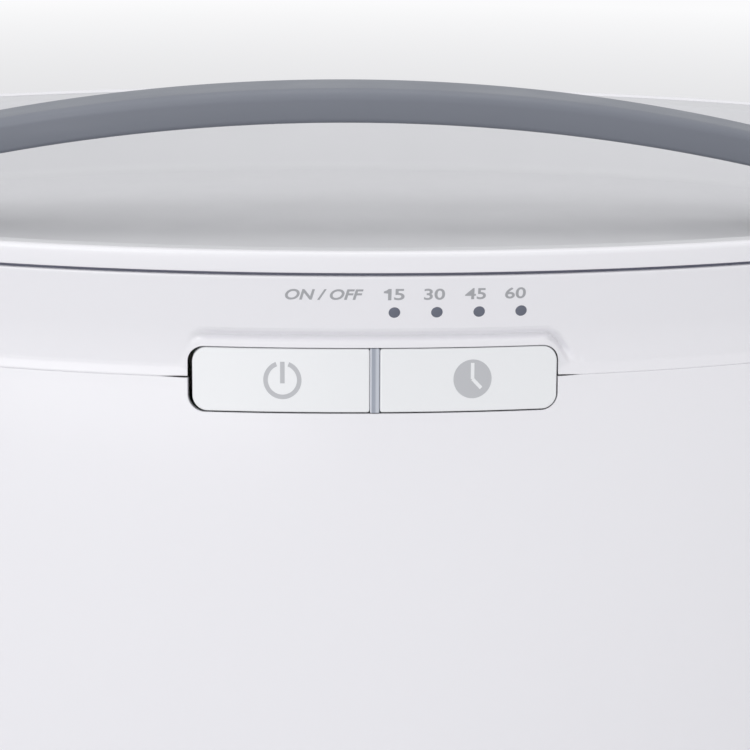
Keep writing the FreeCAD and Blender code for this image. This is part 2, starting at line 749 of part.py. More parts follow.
def heater():
    node("heat_spreader", flat_oval("spreader", "spreader_half_length", "spreader_half_depth",
                                    "spreader_under", "spreader_thickness"))
    mat = cut("mat_ring",
              flat_oval("mat_outside", "spreader_half_length - mat_margin", "spreader_half_depth - mat_margin",
                        "mat_under", "mat_thickness"),
              flat_oval("mat_inside", "spreader_half_length - mat_margin - mat_width",
                        "spreader_half_depth - mat_margin - mat_width", "mat_under", "mat_thickness"))
    node("heater_mat", mat)
    disc = rod("thermostat_can", "thermostat_radius", "thermostat_height", "-thermostat_offset", "0",
               "spreader_under - thermostat_height")
    tabs = [block("thermostat_tab", f"{side}*thermostat_radius/2 - thermostat_offset", "-tab_width/2",
                  "spreader_under - thermostat_height - tab_width", "tab_thickness", "tab_width", "tab_width + 1")
            for side in ("-1", "1")]
    node("thermostat", join("thermostat_whole", disc, *tabs))
    fuse_case = block("fuse_case", "fuse_offset", "-fuse_width/2", "spreader_under - fuse_height",
                      "fuse_length", "fuse_width", "fuse_height")
    fuse_tails = block("fuse_tails", "fuse_offset", "-fuse_wire", "spreader_under - fuse_height/2 - fuse_wire",
                       "fuse_length + 2*fuse_tail", "2*fuse_wire", "fuse_wire")
    node("thermal_fuse", join("fuse", fuse_case, fuse_tails))
    sensor_pad = block("sensor_pad", "sensor_offset", "-sensor_width/2", "spreader_under - sensor_height",
                       "sensor_length", "sensor_width", "sensor_height")
    sensor_bead = rod("sensor_bead", "sensor_bead_radius", "sensor_bead_height - sensor_height/2",
                      "sensor_offset", "0", "spreader_under - sensor_bead_height")
    node("temperature_sensor", join("sensor", sensor_pad, sensor_bead))


# ---------------------------------------------------------------- lift-out grille
def wax_grille():
    top = "grille_under + grille_thickness"
    edge = cut("grille_rim", plug("grille_rim_outside", ("grille_inset", "grille_under"), ("grille_inset", top)),
               plug("grille_rim_inside", ("grille_inset + grille_edge", "grille_under"),
                    ("grille_inset + grille_edge", top)))
    half_length = value("rim_half_length - grille_inset")
    half_depth = value("rim_half_depth - grille_inset")
    pitch = value("grille_pitch")
    windows = []
    across = int(half_length/pitch)
    along = int(half_depth/pitch)
    for i in range(-across - 1, across + 1):
        for j in range(-along - 1, along + 1):
            windows.append(block("grille_window", f"({i} + 0.5)*grille_pitch", f"{j}*grille_pitch + grille_bar/2",
                                 "grille_under", "grille_pitch - grille_bar", "grille_pitch - grille_bar",
                                 "grille_thickness"))
    field = cut("grille_field", plug("grille_plate", ("grille_inset + grille_edge/2", "grille_under"),
                                     ("grille_inset + grille_edge/2", top)), group("grille_windows", *windows))
    feet = [rod("grille_leg", "grille_leg_radius", "grille_foot + grille_thickness/2", f"{sx}*4*grille_pitch",
                f"{sy}*2*grille_pitch", "tank_floor") for sx in ("-1", "1") for sy in ("-1", "1")]
    node("wax_grille", join("grille", edge, field, *feet))


# ---------------------------------------------------------------- lid
def lid_ring():
    outside = plug("ring_outside", ("0", "lid_seat"), ("0", "lid_top - lid_ring_roll"),
                   ("0.3*lid_ring_crown", "lid_top - 0.3*lid_ring_roll"), ("lid_ring_crown", "lid_top"))
    hollow = plug("ring_hollow", ("lid_ring_skirt", "lid_seat"), ("lid_ring_skirt", "panel_seat"))
    mouth = plug("ring_mouth", ("lid_ring_width", "lid_seat"), ("lid_ring_width", "lid_top"))
    node("lid_ring", cut("ring", outside, hollow, mouth))


def lid_panel():
    """The dished panel: a level border that rests under the ring, then a slope down to a flat floor."""
    outside = plug("panel_outside", ("dish_lip_inset", "dish_lip"), ("dish_lip_inset", "flange_foot"),
                   ("dish_brink_inset", "flange_foot - dish_brink_drop"),
                   ("dish_floor_inset - dish_wall/2", "dish_under"))
    inside = plug("panel_inside", ("dish_lip_inset + dish_lip_width", "dish_lip"),
                  ("dish_brink_inset", "dish_lip - dish_brink_drop"), ("dish_floor_inset", "dish_floor"))
    low = value("dish_floor")
    inside = rounded("panel_inside_round", inside, "dish_corner", lambda edge: edge.BoundBox.ZMax < low + 0.01)
    outside = rounded("panel_outside_round", outside, "dish_corner + dish_wall",
                      lambda edge: edge.BoundBox.ZMax < low + 0.01)
    flange = cut("panel_flange",
                 plug("panel_flange_outside", ("lid_ring_skirt + fit_play", "flange_foot"),
                      ("lid_ring_skirt + fit_play", "panel_seat")),
                 plug("panel_flange_inside", ("dish_lip_inset + dish_lip_width", "flange_foot"),
                      ("dish_lip_inset + dish_lip_width", "panel_seat")))
    holes = [rod("handle_screw_hole", "screw_radius + screw_play", "2*dish_wall", x, y, "dish_under - dish_wall/2")
             for x, y in handle_screw_places()]
    node("lid_panel", cut("panel", join("panel_solid", cut("panel_dish", outside, inside), flange), *holes))


def handle_screw_places():
    for side in ("-1", "1"):
        for face in ("-1", "1"):
            yield f"{side}*(handle_half_span - handle_foot/2)", f"{face}*handle_width/4"


def lid_handle():
    """A shallow arch, cut from a tube that lies along Y, on two feet."""
    tube = cut("arch_tube",
               rod("arch_outside", "handle_arc", "handle_width", "0", "-handle_width/2", "handle_centre", "y"),
               rod("arch_inside", "handle_arc - handle_thickness", "handle_width + 2", "0", "-handle_width/2 - 1",
                   "handle_centre", "y"))
    span = block("arch_span", "0", "-handle_width", "dish_floor", "2*handle_half_span", "2*handle_width",
                 "handle_cut_height")
    arch = common("arch", tube, span)
    feet = [block("handle_foot_block", f"{side}*(handle_half_span - handle_foot/2)", "-handle_width/2",
                  "dish_floor", "handle_foot", "handle_width", "handle_foot_height")
            for side in ("-1", "1")]
    whole = join("handle_raw", arch, *feet)
    whole.Refine = True
    reach = value("handle_half_span")
    ends = rounded("handle_ends", whole, "handle_end_round",
                   lambda edge: runs_along("y", edge) and abs(abs(edge.BoundBox.XMin) - reach) < 0.01
                   and edge.BoundBox.ZMin > value("dish_floor") + 1)
    half = value("handle_width/2")
    floor = value("dish_floor")
    top = value("handle_centre")
    radius = value("handle_arc")

    def long_edge(edge):
        box = edge.BoundBox
        on_side = box.YLength < 0.01 and abs(abs(box.YMin) - half) < 0.01
        return on_side and box.ZMin > floor + 0.01 and outer_edge(edge)

    def outer_edge(edge):
        middle = edge.valueAt((edge.FirstParameter + edge.LastParameter)/2)
        return (middle.x**2 + (middle.z - top)**2)**0.5 > radius - 3 and edge.BoundBox.XLength > 20
    softened = rounded("handle_softened", ends, "handle_edge_round", long_edge)
    holes = [rod("handle_pilot", "screw_radius + screw_play", "screw_bite", x, y, "dish_floor - 1")
             for x, y in handle_screw_places()]
    node("lid_handle", cut("handle", softened, *holes))
    node("handle_screws", group("handle_screw_set", *[
        screw("handle_screw", x, y, "dish_under", "dish_wall + screw_bite - 2") for x, y in handle_screw_places()]))


# ---------------------------------------------------------------- base
def foot_places():
    for side in ("-1", "1"):
        for face in ("-1", "1"):
            yield f"{side}*foot_across", f"{face}*foot_along_depth"


def standoff_places():
    for side in ("-1", "1"):
        for face in ("-1", "1"):
            yield (f"{side}*(power_board_length/2 - power_board_margin)",
                   f"{face}*(power_board_depth/2 - power_board_margin)")


def base_plate():
    plate = plug("base_blank", ("base_inset", "foot_height"), ("base_inset", "base_top"))
    standoffs = [rod("standoff", "standoff_radius", "standoff_height + 0.5", x, y, "base_top - 0.5")
                 for x, y in standoff_places()]
    holes = [rod("foot_hole", "foot_stem_radius + screw_play", "4*base_thickness", x, y,
                 "foot_height - base_thickness")
             for x, y in foot_places()]
    for x, y, _, _ in base_screw_places():
        holes.append(rod("base_hole", "screw_radius + screw_play", "4*base_thickness", x, y,
                         "foot_height - base_thickness"))
        holes.append(rod("base_recess", "screw_head_radius + 0.5", "screw_head + 0.1", x, y, "foot_height"))
    for side in ("-1", "1"):
        for k in range(5):
            holes.append(block("vent", f"{side}*(vent_first + {k}*vent_pitch)", "-vent_length/2", "foot_height - 1",
                               "vent_width", "vent_length", "2*base_thickness"))
    holes += [rod("standoff_pilot", "small_screw_radius + screw_play", "standoff_height - 1", x, y,
                  "board_level - standoff_height + 2") for x, y in standoff_places()]
    node("base_plate", cut("base", join("base_solid", plate, *standoffs), *holes))


def rubber_feet():
    feet = []
    for x, y in foot_places():
        pad = rod("foot_pad", "foot_radius", "foot_height", x, y, "0")
        stem = rod("foot_stem", "foot_stem_radius", "base_thickness + 1", x, y, "foot_height - 0.5")
        barb = rod("foot_barb", "foot_barb_radius", "foot_barb", x, y, "base_top + screw_play")
        feet.append(join("foot", pad, stem, barb))
    node("rubber_feet", group("foot_set", *feet))


def base_screws():
    node("base_screws", group("base_screw_set", *[
        screw("base_screw", x, y, "foot_height + screw_head", "base_thickness + screw_bite")
        for x, y, _, _ in base_screw_places()]))


# ---------------------------------------------------------------- power board
def power_board():
    board = block("power_board_blank", "0", "-power_board_depth/2", "board_level", "power_board_length",
                  "power_board_depth", "board_thickness")
    holes = [rod("power_board_hole", "small_screw_radius + screw_play", "2*board_thickness", x, y,
                 "board_level - board_thickness/2") for x, y in standoff_places()]
    node("power_board", cut("power_board_drilled", board, *holes))
    screws = []
    for x, y in standoff_places():
        shank = rod("power_screw_shank", "small_screw_radius", "standoff_height - 1", x, y,
                    "power_level - standoff_height + 1.5")
        head = rod("power_screw_head", "small_screw_head_radius", "small_screw_head", x, y, "power_level")
        screws.append(join("power_screw", shank, head))
    node("power_board_screws", group("power_board_screw_set", *screws))
    core = block("transformer_core", "-transformer_offset", "-core_depth/2", "power_level",
                 "core_length", "core_depth", "core_height")
    coil = block("transformer_coil", "-transformer_offset", "-coil_depth/2",
                 "power_level + (core_height - coil_height)/2", "coil_length", "coil_depth", "coil_height")
    node("transformer", join("transformer_whole", core, coil))
    node("relay", block("relay_case", "relay_offset", "-relay_setback", "power_level",
                        "relay_length", "relay_width", "relay_width"))
    node("filter_capacitor", rod("capacitor_can", "capacitor_radius", "capacitor_height", "relay_offset",
                                 "capacitor_setback", "power_level"))
    terminals = block("terminal_case", "0", "terminal_setback", "power_level",
                      "5*terminal_pitch + 4", "terminal_depth", "terminal_height")
    mouths = [block("terminal_mouth", f"{k}*terminal_pitch", "terminal_setback + terminal_depth/2",
                    "power_level + terminal_mouth/2", "terminal_mouth", "terminal_depth", "terminal_mouth")
              for k in range(-2, 3)]
    node("terminal_block", cut("terminal_whole", terminals, *mouths))


# ---------------------------------------------------------------- cord gland
def cord_gland():
    flange = rod("gland_flange_disc", "gland_flange", "gland_flange_thickness", "0", "gland_face_y",
                 "gland_height", "y")
    barrel = rod("gland_barrel", "gland_radius", "gland_barrel_length", "0", "gland_face_y - gland_barrel_length",
                 "gland_height", "y")
    bore = rod("gland_bore_hole", "gland_bore", "gland_barrel_length + gland_flange_thickness + 2", "0",
               "gland_face_y - gland_barrel_length - 1", "gland_height", "y")
    node("cord_gland", cut("gland", join("gland_solid", flange, barrel), bore))
    nut = cut("gland_nut_ring",
              rod("gland_nut_disc", "gland_flange", "gland_nut_thickness", "0",
                  "gland_face_y - gland_pad_depth - gland_pad_proud - gland_nut_thickness", "gland_height", "y"),
              rod("gland_nut_hole", "gland_radius + fit_play", "gland_nut_thickness + 2", "0",
                  "gland_face_y - gland_pad_depth - gland_pad_proud - gland_nut_thickness - 1", "gland_height", "y"))
    node("gland_nut", nut)


for make in (lower_body_shell, control_collar, rim_seal, collar_screws, buttons, button_light_bar, indicator_lens,
             indicator_leds, control_board, wax_tank, insulation_blanket, heater, wax_grille, lid_ring, lid_panel,
             lid_handle, base_plate, rubber_feet, base_screws, power_board, cord_gland):
    make()
doc.recompute()

bad = [thing.Name for thing in doc.Objects if "Invalid" in thing.State or "Error" in thing.State]
if bad:
    raise RuntimeError("these objects failed: " + ", ".join(bad))
for thing in nodes:
    if thing.Shape.isNull() or not thing.Shape.isValid() or thing.Shape.Volume <= 0:
        raise RuntimeError(thing.Label + " has no valid solid")
os.makedirs("parts", exist_ok=True)
for thing in nodes:
    thing.Shape.exportStep(f"parts/{thing.Label}.step")
    print(thing.Label, len(thing.Shape.Solids), "solid(s),", round(thing.Shape.Volume/1000, 2), "cm3")
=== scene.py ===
# %% [markdown]
# # An oval paraffin wax bath
# The bath is a warm oval tub for hands. Almost every moulding on it is a stack of ellipses that share one
# centre, so one rule serves the whole lesson: an ellipse is named by its inset, the distance that both of
# its half-axes lie inside the rim's outline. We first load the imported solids, which give every size.

# %% Load the solids and name the sizes
import json
import math
import bmesh
import bpy
import numpy as np
from mathutils import Matrix, Vector


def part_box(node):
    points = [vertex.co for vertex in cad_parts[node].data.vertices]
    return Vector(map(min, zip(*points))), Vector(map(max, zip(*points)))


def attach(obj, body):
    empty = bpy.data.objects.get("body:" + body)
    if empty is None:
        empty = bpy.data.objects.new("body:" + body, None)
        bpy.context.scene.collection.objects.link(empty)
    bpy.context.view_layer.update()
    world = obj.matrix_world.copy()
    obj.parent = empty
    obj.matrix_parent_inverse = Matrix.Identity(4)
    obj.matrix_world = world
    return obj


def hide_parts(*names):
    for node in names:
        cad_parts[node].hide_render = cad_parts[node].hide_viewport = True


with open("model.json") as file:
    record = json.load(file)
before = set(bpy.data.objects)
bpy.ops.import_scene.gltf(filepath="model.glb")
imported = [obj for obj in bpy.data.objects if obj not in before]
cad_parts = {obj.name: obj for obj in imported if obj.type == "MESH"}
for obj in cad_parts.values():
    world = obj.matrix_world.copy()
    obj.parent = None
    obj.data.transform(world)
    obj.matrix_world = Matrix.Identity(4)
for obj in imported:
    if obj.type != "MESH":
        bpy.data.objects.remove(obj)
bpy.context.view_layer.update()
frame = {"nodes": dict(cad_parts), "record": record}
MM = 0.001


def box_mm(node):
    """Lowest and highest corner of a solid, in millimetres."""
    low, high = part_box(node)
    return np.array(low)/MM, np.array(high)/MM


ring_low, ring_high = box_mm("lid_ring")
power_low, _ = box_mm("power_button")
timer_low, timer_high = box_mm("timer_button")
bar_low, _ = box_mm("button_light_bar")
_, handle_high = box_mm("lid_handle")
gland_low, gland_high = box_mm("cord_gland")
lens_low, lens_high = box_mm("indicator_lens")
HALF_LENGTH, HALF_DEPTH = 190.0, 115.0  # of the rim's ellipse
SEAM_GAP = 0.3
SEAM = box_mm("lower_body_shell")[1][2] + SEAM_GAP
RIM = box_mm("control_collar")[1][2]
LID_SEAT, LID_TOP = ring_low[2], ring_high[2]
print("seam", round(SEAM, 2), "rim", round(RIM, 2), "lid", round(LID_SEAT, 2), "to", round(LID_TOP, 2))

# %% [markdown]
# ## Surfaces from arrays
# A moulding could be built with loop cuts and sculpting. Here each one is a grid of points that numpy works
# out in one go, because the sizes then stay exact. Three helpers turn grids into closed meshes: grid_faces
# makes the quads, weld joins grids and merges the points they share, and thicken gives a skin its wall.


# %% Helpers that turn grids into meshes
def add(name, data):
    """A new object in the scene, at the origin."""
    thing = bpy.data.objects.new(name, data)
    bpy.context.scene.collection.objects.link(thing)
    return thing


def unit(vectors):
    """Each vector divided by its own length."""
    return vectors/np.maximum(np.linalg.norm(vectors, axis=-1, keepdims=True), 1e-12)


def grid_faces(rows, columns, wrap_rows=False, wrap_columns=False):
    """Quads of a grid: each takes a point, its right neighbour, and the two points in the next row."""
    index = np.arange(rows*columns).reshape(rows, columns)
    if wrap_rows:
        index = np.vstack([index, index[:1]])
    if wrap_columns:
        index = np.hstack([index, index[:, :1]])
    return np.stack([index[:-1, :-1], index[:-1, 1:], index[1:, 1:], index[1:, :-1]], -1).reshape(-1, 4)


def weld(parts, tolerance=1e-4):
    """Join (points, faces) pairs: points that round to the same place become one, and flat faces go.

    The third result says which of all the points given each kept point is.
    """
    counts = np.cumsum([0] + [len(points) for points, _ in parts])
    points = np.vstack([points for points, _ in parts])
    faces = np.vstack([faces + start for (_, faces), start in zip(parts, counts)])
    keys = np.round(points/tolerance).astype(np.int64)
    _, first, inverse = np.unique(keys, axis=0, return_index=True, return_inverse=True)
    faces = inverse.reshape(-1)[faces]
    distinct = 1 + (np.diff(np.sort(faces, 1), axis=1) > 0).sum(1)
    return points[first], faces[distinct > 2], first


def make_mesh(name, points, faces, smooth=True, inside=None):
    """Put millimetre points and quads (a repeated corner makes a triangle) into a mesh object.

    inside is 0 on the outer skin and 1 on the inner one, and is kept as an attribute, with which the finish
    paints shade on the inner side.
    """
    kept = faces != np.roll(faces, 1, 1)
    sides = kept.sum(1)
    corners = faces[kept]
    mesh = bpy.data.meshes.new(name)
    mesh.vertices.add(len(points))
    mesh.vertices.foreach_set("co", (points*MM).ravel())
    mesh.loops.add(len(corners))
    mesh.loops.foreach_set("vertex_index", corners)
    mesh.polygons.add(len(faces))
    mesh.polygons.foreach_set("loop_start", np.cumsum(sides) - sides)
    mesh.polygons.foreach_set("use_smooth", np.full(len(faces), smooth))
    mesh.update(calc_edges=True)
    mesh.validate()
    if inside is not None:
        mesh.attributes.new("inside", "FLOAT", "POINT").data.foreach_set("value", inside.astype(np.float32))
    return add(name, mesh)


def vertex_normals(points, faces):
    """Each face's normal is the cross product of its diagonals; a point takes the sum over its faces."""
    normal = np.cross(points[faces[:, 2]] - points[faces[:, 0]], points[faces[:, 3]] - points[faces[:, 1]])
    total = np.zeros_like(points)
    for corner in range(4):
        np.add.at(total, faces[:, corner], normal)
    return unit(total)


def flat_grid(grid, wrap=False):
    """A grid of points as a list of points with its quads."""
    return grid.reshape(-1, 3), grid_faces(*grid.shape[:2], wrap_columns=wrap)


def facing(points, faces, way):
    """The faces, all turned round if the point that lies furthest along the way has a normal against it."""
    furthest = np.argmax(points @ way)
    return faces if vertex_normals(points, faces)[furthest] @ way > 0 else faces[:, ::-1]


def thicken(skin, inner, faces, round_off, steps=4):
    """Close a skin with an inner skin and rounded edges.

    At a free edge, m points out of the material along the surface and n out of the wall. The edge runs over a
    quarter circle, radius r, from n to m, straight through the wall, and over a second one to the inner skin.
    The third result is 0 on the outer half of that and 1 on the inner half.
    """
    edges = np.vstack([faces[:, [k, (k + 1) % 4]] for k in range(4)])
    edges = edges[edges[:, 0] != edges[:, 1]]
    size = len(skin)
    codes = edges[:, 0]*size + edges[:, 1]
    free = edges[~np.isin(codes, edges[:, 1]*size + edges[:, 0])]
    after, before, place = np.full((3, size), -1)
    after[free[:, 0]] = free[:, 1]
    before[free[:, 1]] = free[:, 0]
    rim = free[:, 0]
    wall = inner[rim] - skin[rim]
    depth = np.linalg.norm(wall, axis=1, keepdims=True)
    n = -wall/depth
    m1 = unit(np.cross(skin[rim] - skin[before[rim]], n))
    m2 = unit(np.cross(skin[after[rim]] - skin[rim], n))
    m = (m1 + m2)/np.maximum(1 + (m1*m2).sum(1, keepdims=True), 0.4)
    r = round_off
    turn = np.linspace(0, math.pi/2, steps + 1)
    levels = [skin[rim] + n*(r*(math.cos(a) - 1)) + m*(r*math.sin(a)) for a in turn[1:]]
    levels += [skin[rim] - n*(depth - r + r*math.sin(a)) + m*(r*math.cos(a)) for a in turn[:-1]]
    place[rim] = np.arange(len(rim))
    columns = [rim] + [2*size + k*len(rim) + np.arange(len(rim)) for k in range(len(levels))] + [rim + size]
    a, b = place[free[:, 0]], place[free[:, 1]]
    strips = [np.stack([up[b], up[a], down[a], down[b]], 1) for up, down in zip(columns[:-1], columns[1:])]
    points = np.vstack([skin, inner] + levels)
    inside = np.zeros(len(points))
    inside[size:2*size] = 1
    inside[2*size + steps*len(rim):] = 1
    return points, np.vstack([faces, faces[:, ::-1] + size] + strips), inside


def oval(inset, angle, z):
    """x = (half length - inset) cos, y = (half depth - inset) sin, at height z."""
    inset, angle, z = np.broadcast_arrays(inset, angle, z)
    return np.stack([(HALF_LENGTH - inset)*np.cos(angle), (HALF_DEPTH - inset)*np.sin(angle), z], -1)


def front(inset, x, z):
    """The same ellipse's front by x: y = -(half depth - inset) sqrt(1 - (x/(half length - inset))^2)."""
    inset, x, z = np.broadcast_arrays(inset, x, z)
    y = -(HALF_DEPTH - inset)*np.sqrt(np.maximum(1 - (x/(HALF_LENGTH - inset))**2, 0))
    return np.stack([x, y, z], -1)


def corner_arc(before, corner, after, radius, steps):
    """A tangent arc. Its centre lies radius/sin(h) along the corner's bisector, h being half the angle there.

    Points turn from one end to the other, a to b over a sweep w: (sin((1 - s)w) a + sin(s w) b)/sin(w).
    """
    back, ahead = unit(before - corner), unit(after - corner)
    half = math.acos(np.clip(back @ ahead, -1, 1))/2
    centre = corner + unit(back + ahead)*radius/math.sin(half)
    start, end = [corner + way*radius/math.tan(half) - centre for way in (back, ahead)]
    sweep = math.pi - 2*half
    share = np.linspace(0, 1, steps + 1)[:, None]
    return centre + (np.sin((1 - share)*sweep)*start + np.sin(share*sweep)*end)/math.sin(sweep)


def rounded_profile(corners, steps=5):
    """A closed outline of (inset, z, radius) corners, with an arc at each."""
    at = np.array(corners, float)[:, :2]
    return np.vstack([corner_arc(at[k - 1], at[k], at[(k + 1) % len(at)], corners[k][2], steps)
                      for k in range(len(at))])


def open_path(corners, counts, steps=6):
    """Straight runs with counts[k] points each, and an arc at each corner between the ends."""
    at = np.array(corners, float)[:, :2]
    path, start = [], at[0]
    for k in range(1, len(at) - 1):
        arc = corner_arc(at[k - 1], at[k], at[k + 1], corners[k][2], steps)
        path += [start + (arc[0] - start)*np.linspace(0, 1, counts[k - 1], endpoint=False)[:, None], arc[:-1]]
        start = arc[-1]
    return np.vstack(path + [start + (at[-1] - start)*np.linspace(0, 1, counts[-1])[:, None]])


def fill_in(profile, longest):
    """Put extra points on the long sides of a closed outline."""
    ahead = np.roll(profile, -1, 0)
    count = np.maximum(1, np.ceil(np.linalg.norm(ahead - profile, axis=1)/longest).astype(int))
    share = np.concatenate([np.arange(c)/c for c in count])[:, None]
    return np.repeat(profile, count, 0)*(1 - share) + np.repeat(ahead, count, 0)*share


def swept_ring(name, corners, longest=4.0, around=360, steps=5):
    """A closed outline of (inset, z) carried round the oval: rows follow the outline, columns the angle."""
    profile = fill_in(rounded_profile(corners, steps), longest)
    angle = np.linspace(0, 2*math.pi, around, endpoint=False)
    points = oval(profile[:, None, 0], angle[None], profile[:, None, 1]).reshape(-1, 3)
    return make_mesh(name, points, grid_faces(len(profile), around, True, True))


def finish_piece(piece, body, slot, *nodes):
    """Say which body a piece moves with, and hide the solids it stands for. The slot is not used."""
    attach(piece, body)
    if nodes:
        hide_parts(*nodes)
    return piece


AHEAD, BEHIND, UPWARD = np.array([0, -1, 0]), np.array([0, 1, 0]), np.array([0, 0, 1])
print("helpers ready")

# %% [markdown]
# ## The leaning front
# The tub bulges like a pebble, and its lean at the seam runs straight on through the hood and both buttons,
# so they all lie in one surface. Above the seam the collar steps back on a sloping ledge and then flares out
# to the rim. Where the flush surface and the flared one meet, the smaller inset wins, with a soft blend.

# %% Insets of the body, the flush surface and the collar
SEAM_INSET, LEAN = 2.2, 0.162  # inset at the seam, and its growth for each millimetre of height
BELLY, FOOT, TUCK = 95.0, 3.0, 14.0  # widest level, lowest level, and how far the foot draws in
LEDGE_SLOPE, LEDGE_TOP = 0.78, 3.6  # inset per millimetre on the ledge, and inset of the wall over it
FLARE, FLARE_FOOT = 4.9, 1.45  # inset at the flare's foot, and that foot's height over the seam
WALL = 2.5
WINDOW_MIDDLE, WINDOW_HALF = 0.45, 37.35
# The hood's S starts a reach before the window's end, climbs over a run, and then rises for each further run.
HOOD_REACH, HOOD_RUN, HOOD_CLIMB, HOOD_RISE = 3.0, 7.6, 1.7, 2.0
GROOVE_DEPTH, GROOVE_OFFSET, GROOVE_BELOW, GROOVE_ABOVE = 1.5, 0.4, 0.19, 0.38
belly_inset = SEAM_INSET - LEAN*(SEAM - BELLY)/2
body_top = SEAM - SEAM_GAP


def ease(share):
    """3s^2 - 2s^3 climbs from 0 to 1 and is level at both ends."""
    share = np.clip(share, 0, 1)
    return share*share*(3 - 2*share)


def soft_least(a, b, width):
    """The smaller of a and b, less a parabola that rounds the crease where they differ by under width."""
    near = np.maximum(width - np.abs(a - b), 0)/width
    return np.minimum(a, b) - near*near*width/4


def body_inset(z):
    """Parabolas each side of the belly: the inset grows with the square of the height above or below it."""
    above = belly_inset + (SEAM_INSET - belly_inset)*((z - BELLY)/(body_top - BELLY))**2
    below = belly_inset + TUCK*((BELLY - z)/(BELLY - FOOT))**2
    return np.where(z > BELLY, above, below)


def flush_inset(z):
    """A straight line through the seam: the inset grows by LEAN for each millimetre of height."""
    return SEAM_INSET + LEAN*(z - SEAM)


def collar_inset(z):
    """The steep ledge, an upright wall, and the flare up to the rim, whichever lies furthest out."""
    ledge = SEAM_INSET + LEDGE_SLOPE*(z - SEAM)
    flare = FLARE*(RIM - z)/(RIM - SEAM - FLARE_FOOT)
    return soft_least(soft_least(ledge, LEDGE_TOP + 0*z, 0.3), flare, 0.9)


def hood_inset(x, z):
    """The flush surface in the middle; near the window's ends the inset climbs in an S, then rises on."""
    run = (np.abs(x - WINDOW_MIDDLE) - WINDOW_HALF + HOOD_REACH)/HOOD_RUN
    return flush_inset(z) + HOOD_CLIMB*ease(run) + HOOD_RISE*np.maximum(run - 1, 0)


def collar_face(x, z):
    """The further out of both, with a soft groove along the line where they meet.

    The groove is a bell curve of the difference, half as wide below as above. It fades out over 6 mm at its
    left end and over 3.5 mm towards the seam.
    """
    face, hood = collar_inset(z), hood_inset(x, z)
    off = face - hood + GROOVE_OFFSET
    depth = GROOVE_DEPTH*ease((x - WINDOW_MIDDLE + WINDOW_HALF + 0.5)/6)*np.clip((z - SEAM - 1.5)/3.5, 0, 1)
    return soft_least(face, hood, 0.3) + depth*np.exp(-(off/np.where(off > 0, GROOVE_BELOW, GROOVE_ABOVE))**2)


print("belly inset", round(belly_inset, 3), "collar foot and wall", collar_inset(np.array([SEAM, SEAM + 3])))

# %% [markdown]
# ## The window for the buttons
# The seam crosses the window at mid height, so the body has a notch in its top edge and the collar one in its
# foot. A boolean would leave long thin triangles there. Instead the skin round the notch is a strip of loops:
# each starts on the notch's outline and ends on a rectangle whose points are those of the grid around it.

# %% The notched skin that body and collar share
EDGE = 0.14  # radius of the shells' edges
SEAM_MOVE = 0.18
window_foot, window_top = SEAM - 7.0, SEAM + 6.1
CORNER = 3.4
BLOCK = 46.0  # half the width of the rectangle round the window
SIDE_COUNT, ACROSS_COUNT, LOOPS, AROUND = 34, 171, 40, 240  # points up a side, across, out, round the back
BESIDE = 99.0  # an x at which the hood has no part in the collar's face


def notch_outline(half_width, z_seam, z_end, radius):
    """Half the window's outline from the seam on the left, round both corners, to the seam on the right.

    Points lie by length: SIDE_COUNT on a side with half its corner, and ACROSS_COUNT between the two.
    """
    step = 1.0 if z_end > z_seam else -1.0
    straight = abs(z_end - z_seam) - radius
    quarter = radius*math.pi/2
    flat = 2*(half_width - radius)
    side = np.linspace(0, straight + quarter/2, SIDE_COUNT)
    across = np.linspace(straight + quarter/2, straight + 1.5*quarter + flat, ACROSS_COUNT)
    whole = 2*straight + 2*quarter + flat
    length = np.concatenate([side, across[1:-1], whole - side[::-1]])
    mirrored = length > whole/2
    run = np.where(mirrored, whole - length, length)
    turn = np.clip((run - straight)/radius, 0, math.pi/2)
    x = -half_width + radius*(1 - np.cos(turn)) + np.maximum(run - straight - quarter, 0)
    z = z_seam + step*(np.minimum(run, straight) + radius*np.sin(turn))
    return np.stack([np.where(mirrored, -x, x), z], -1)


def block_outline(z_seam, z_end):
    """The matching rectangle: along one side, across, and back along the other."""
    side = np.linspace(z_seam, z_end, SIDE_COUNT)
    across = np.linspace(-BLOCK, BLOCK, ACROSS_COUNT)[1:-1]
    left, right = [np.stack([np.full(SIDE_COUNT, end), side], -1) for end in (-BLOCK, BLOCK)]
    return np.vstack([left, np.stack([across, np.full(len(across), z_end)], -1), right[::-1]])


def notched_skin(z_seam, z_window, z_block, inset_at):
    """Two grids: (x, z) runs straight from the notch to the block, closer together near the notch.

    Round the rest of the oval the same heights are swept by angle, from the block's right side to its left.
    """
    inner = notch_outline(WINDOW_HALF + EDGE, z_seam, z_window, CORNER + EDGE) + [WINDOW_MIDDLE, 0]
    outer = block_outline(z_seam, z_block)
    share = np.linspace(0, 1, LOOPS)[:, None, None]**1.4
    flat = inner[None]*(1 - share) + outer[None]*share
    block = front(inset_at(flat[..., 0], flat[..., 1]), flat[..., 0], flat[..., 1])
    return block, round_the_back(np.linspace(z_seam, z_block, SIDE_COUNT), inset_at)


def back_angles(inset):
    """From the angle where x = BLOCK on the front, anticlockwise round the back, to where x = -BLOCK."""
    start = -np.arccos(BLOCK/(HALF_LENGTH - inset))
    return start[:, None] + (math.pi - 2*start)[:, None]*np.linspace(0, 1, AROUND)[None]


def round_the_back(rows, inset_at):
    """The heights in rows, each swept over its back angles at the inset it has beside the window."""
    inset = inset_at(np.full(rows.shape, BESIDE), rows)
    return oval(inset[:, None], back_angles(inset), rows[:, None])


def profile_rows(inset, z):
    """Whole turns of the oval: the front by x, where it has to meet the block, and the rest by angle."""
    x = np.linspace(-BLOCK, BLOCK, ACROSS_COUNT)
    return np.concatenate([front(inset[:, None], x[None], z[:, None]),
                           oval(inset[:, None], back_angles(inset)[:, 1:-1], z[:, None])], 1)


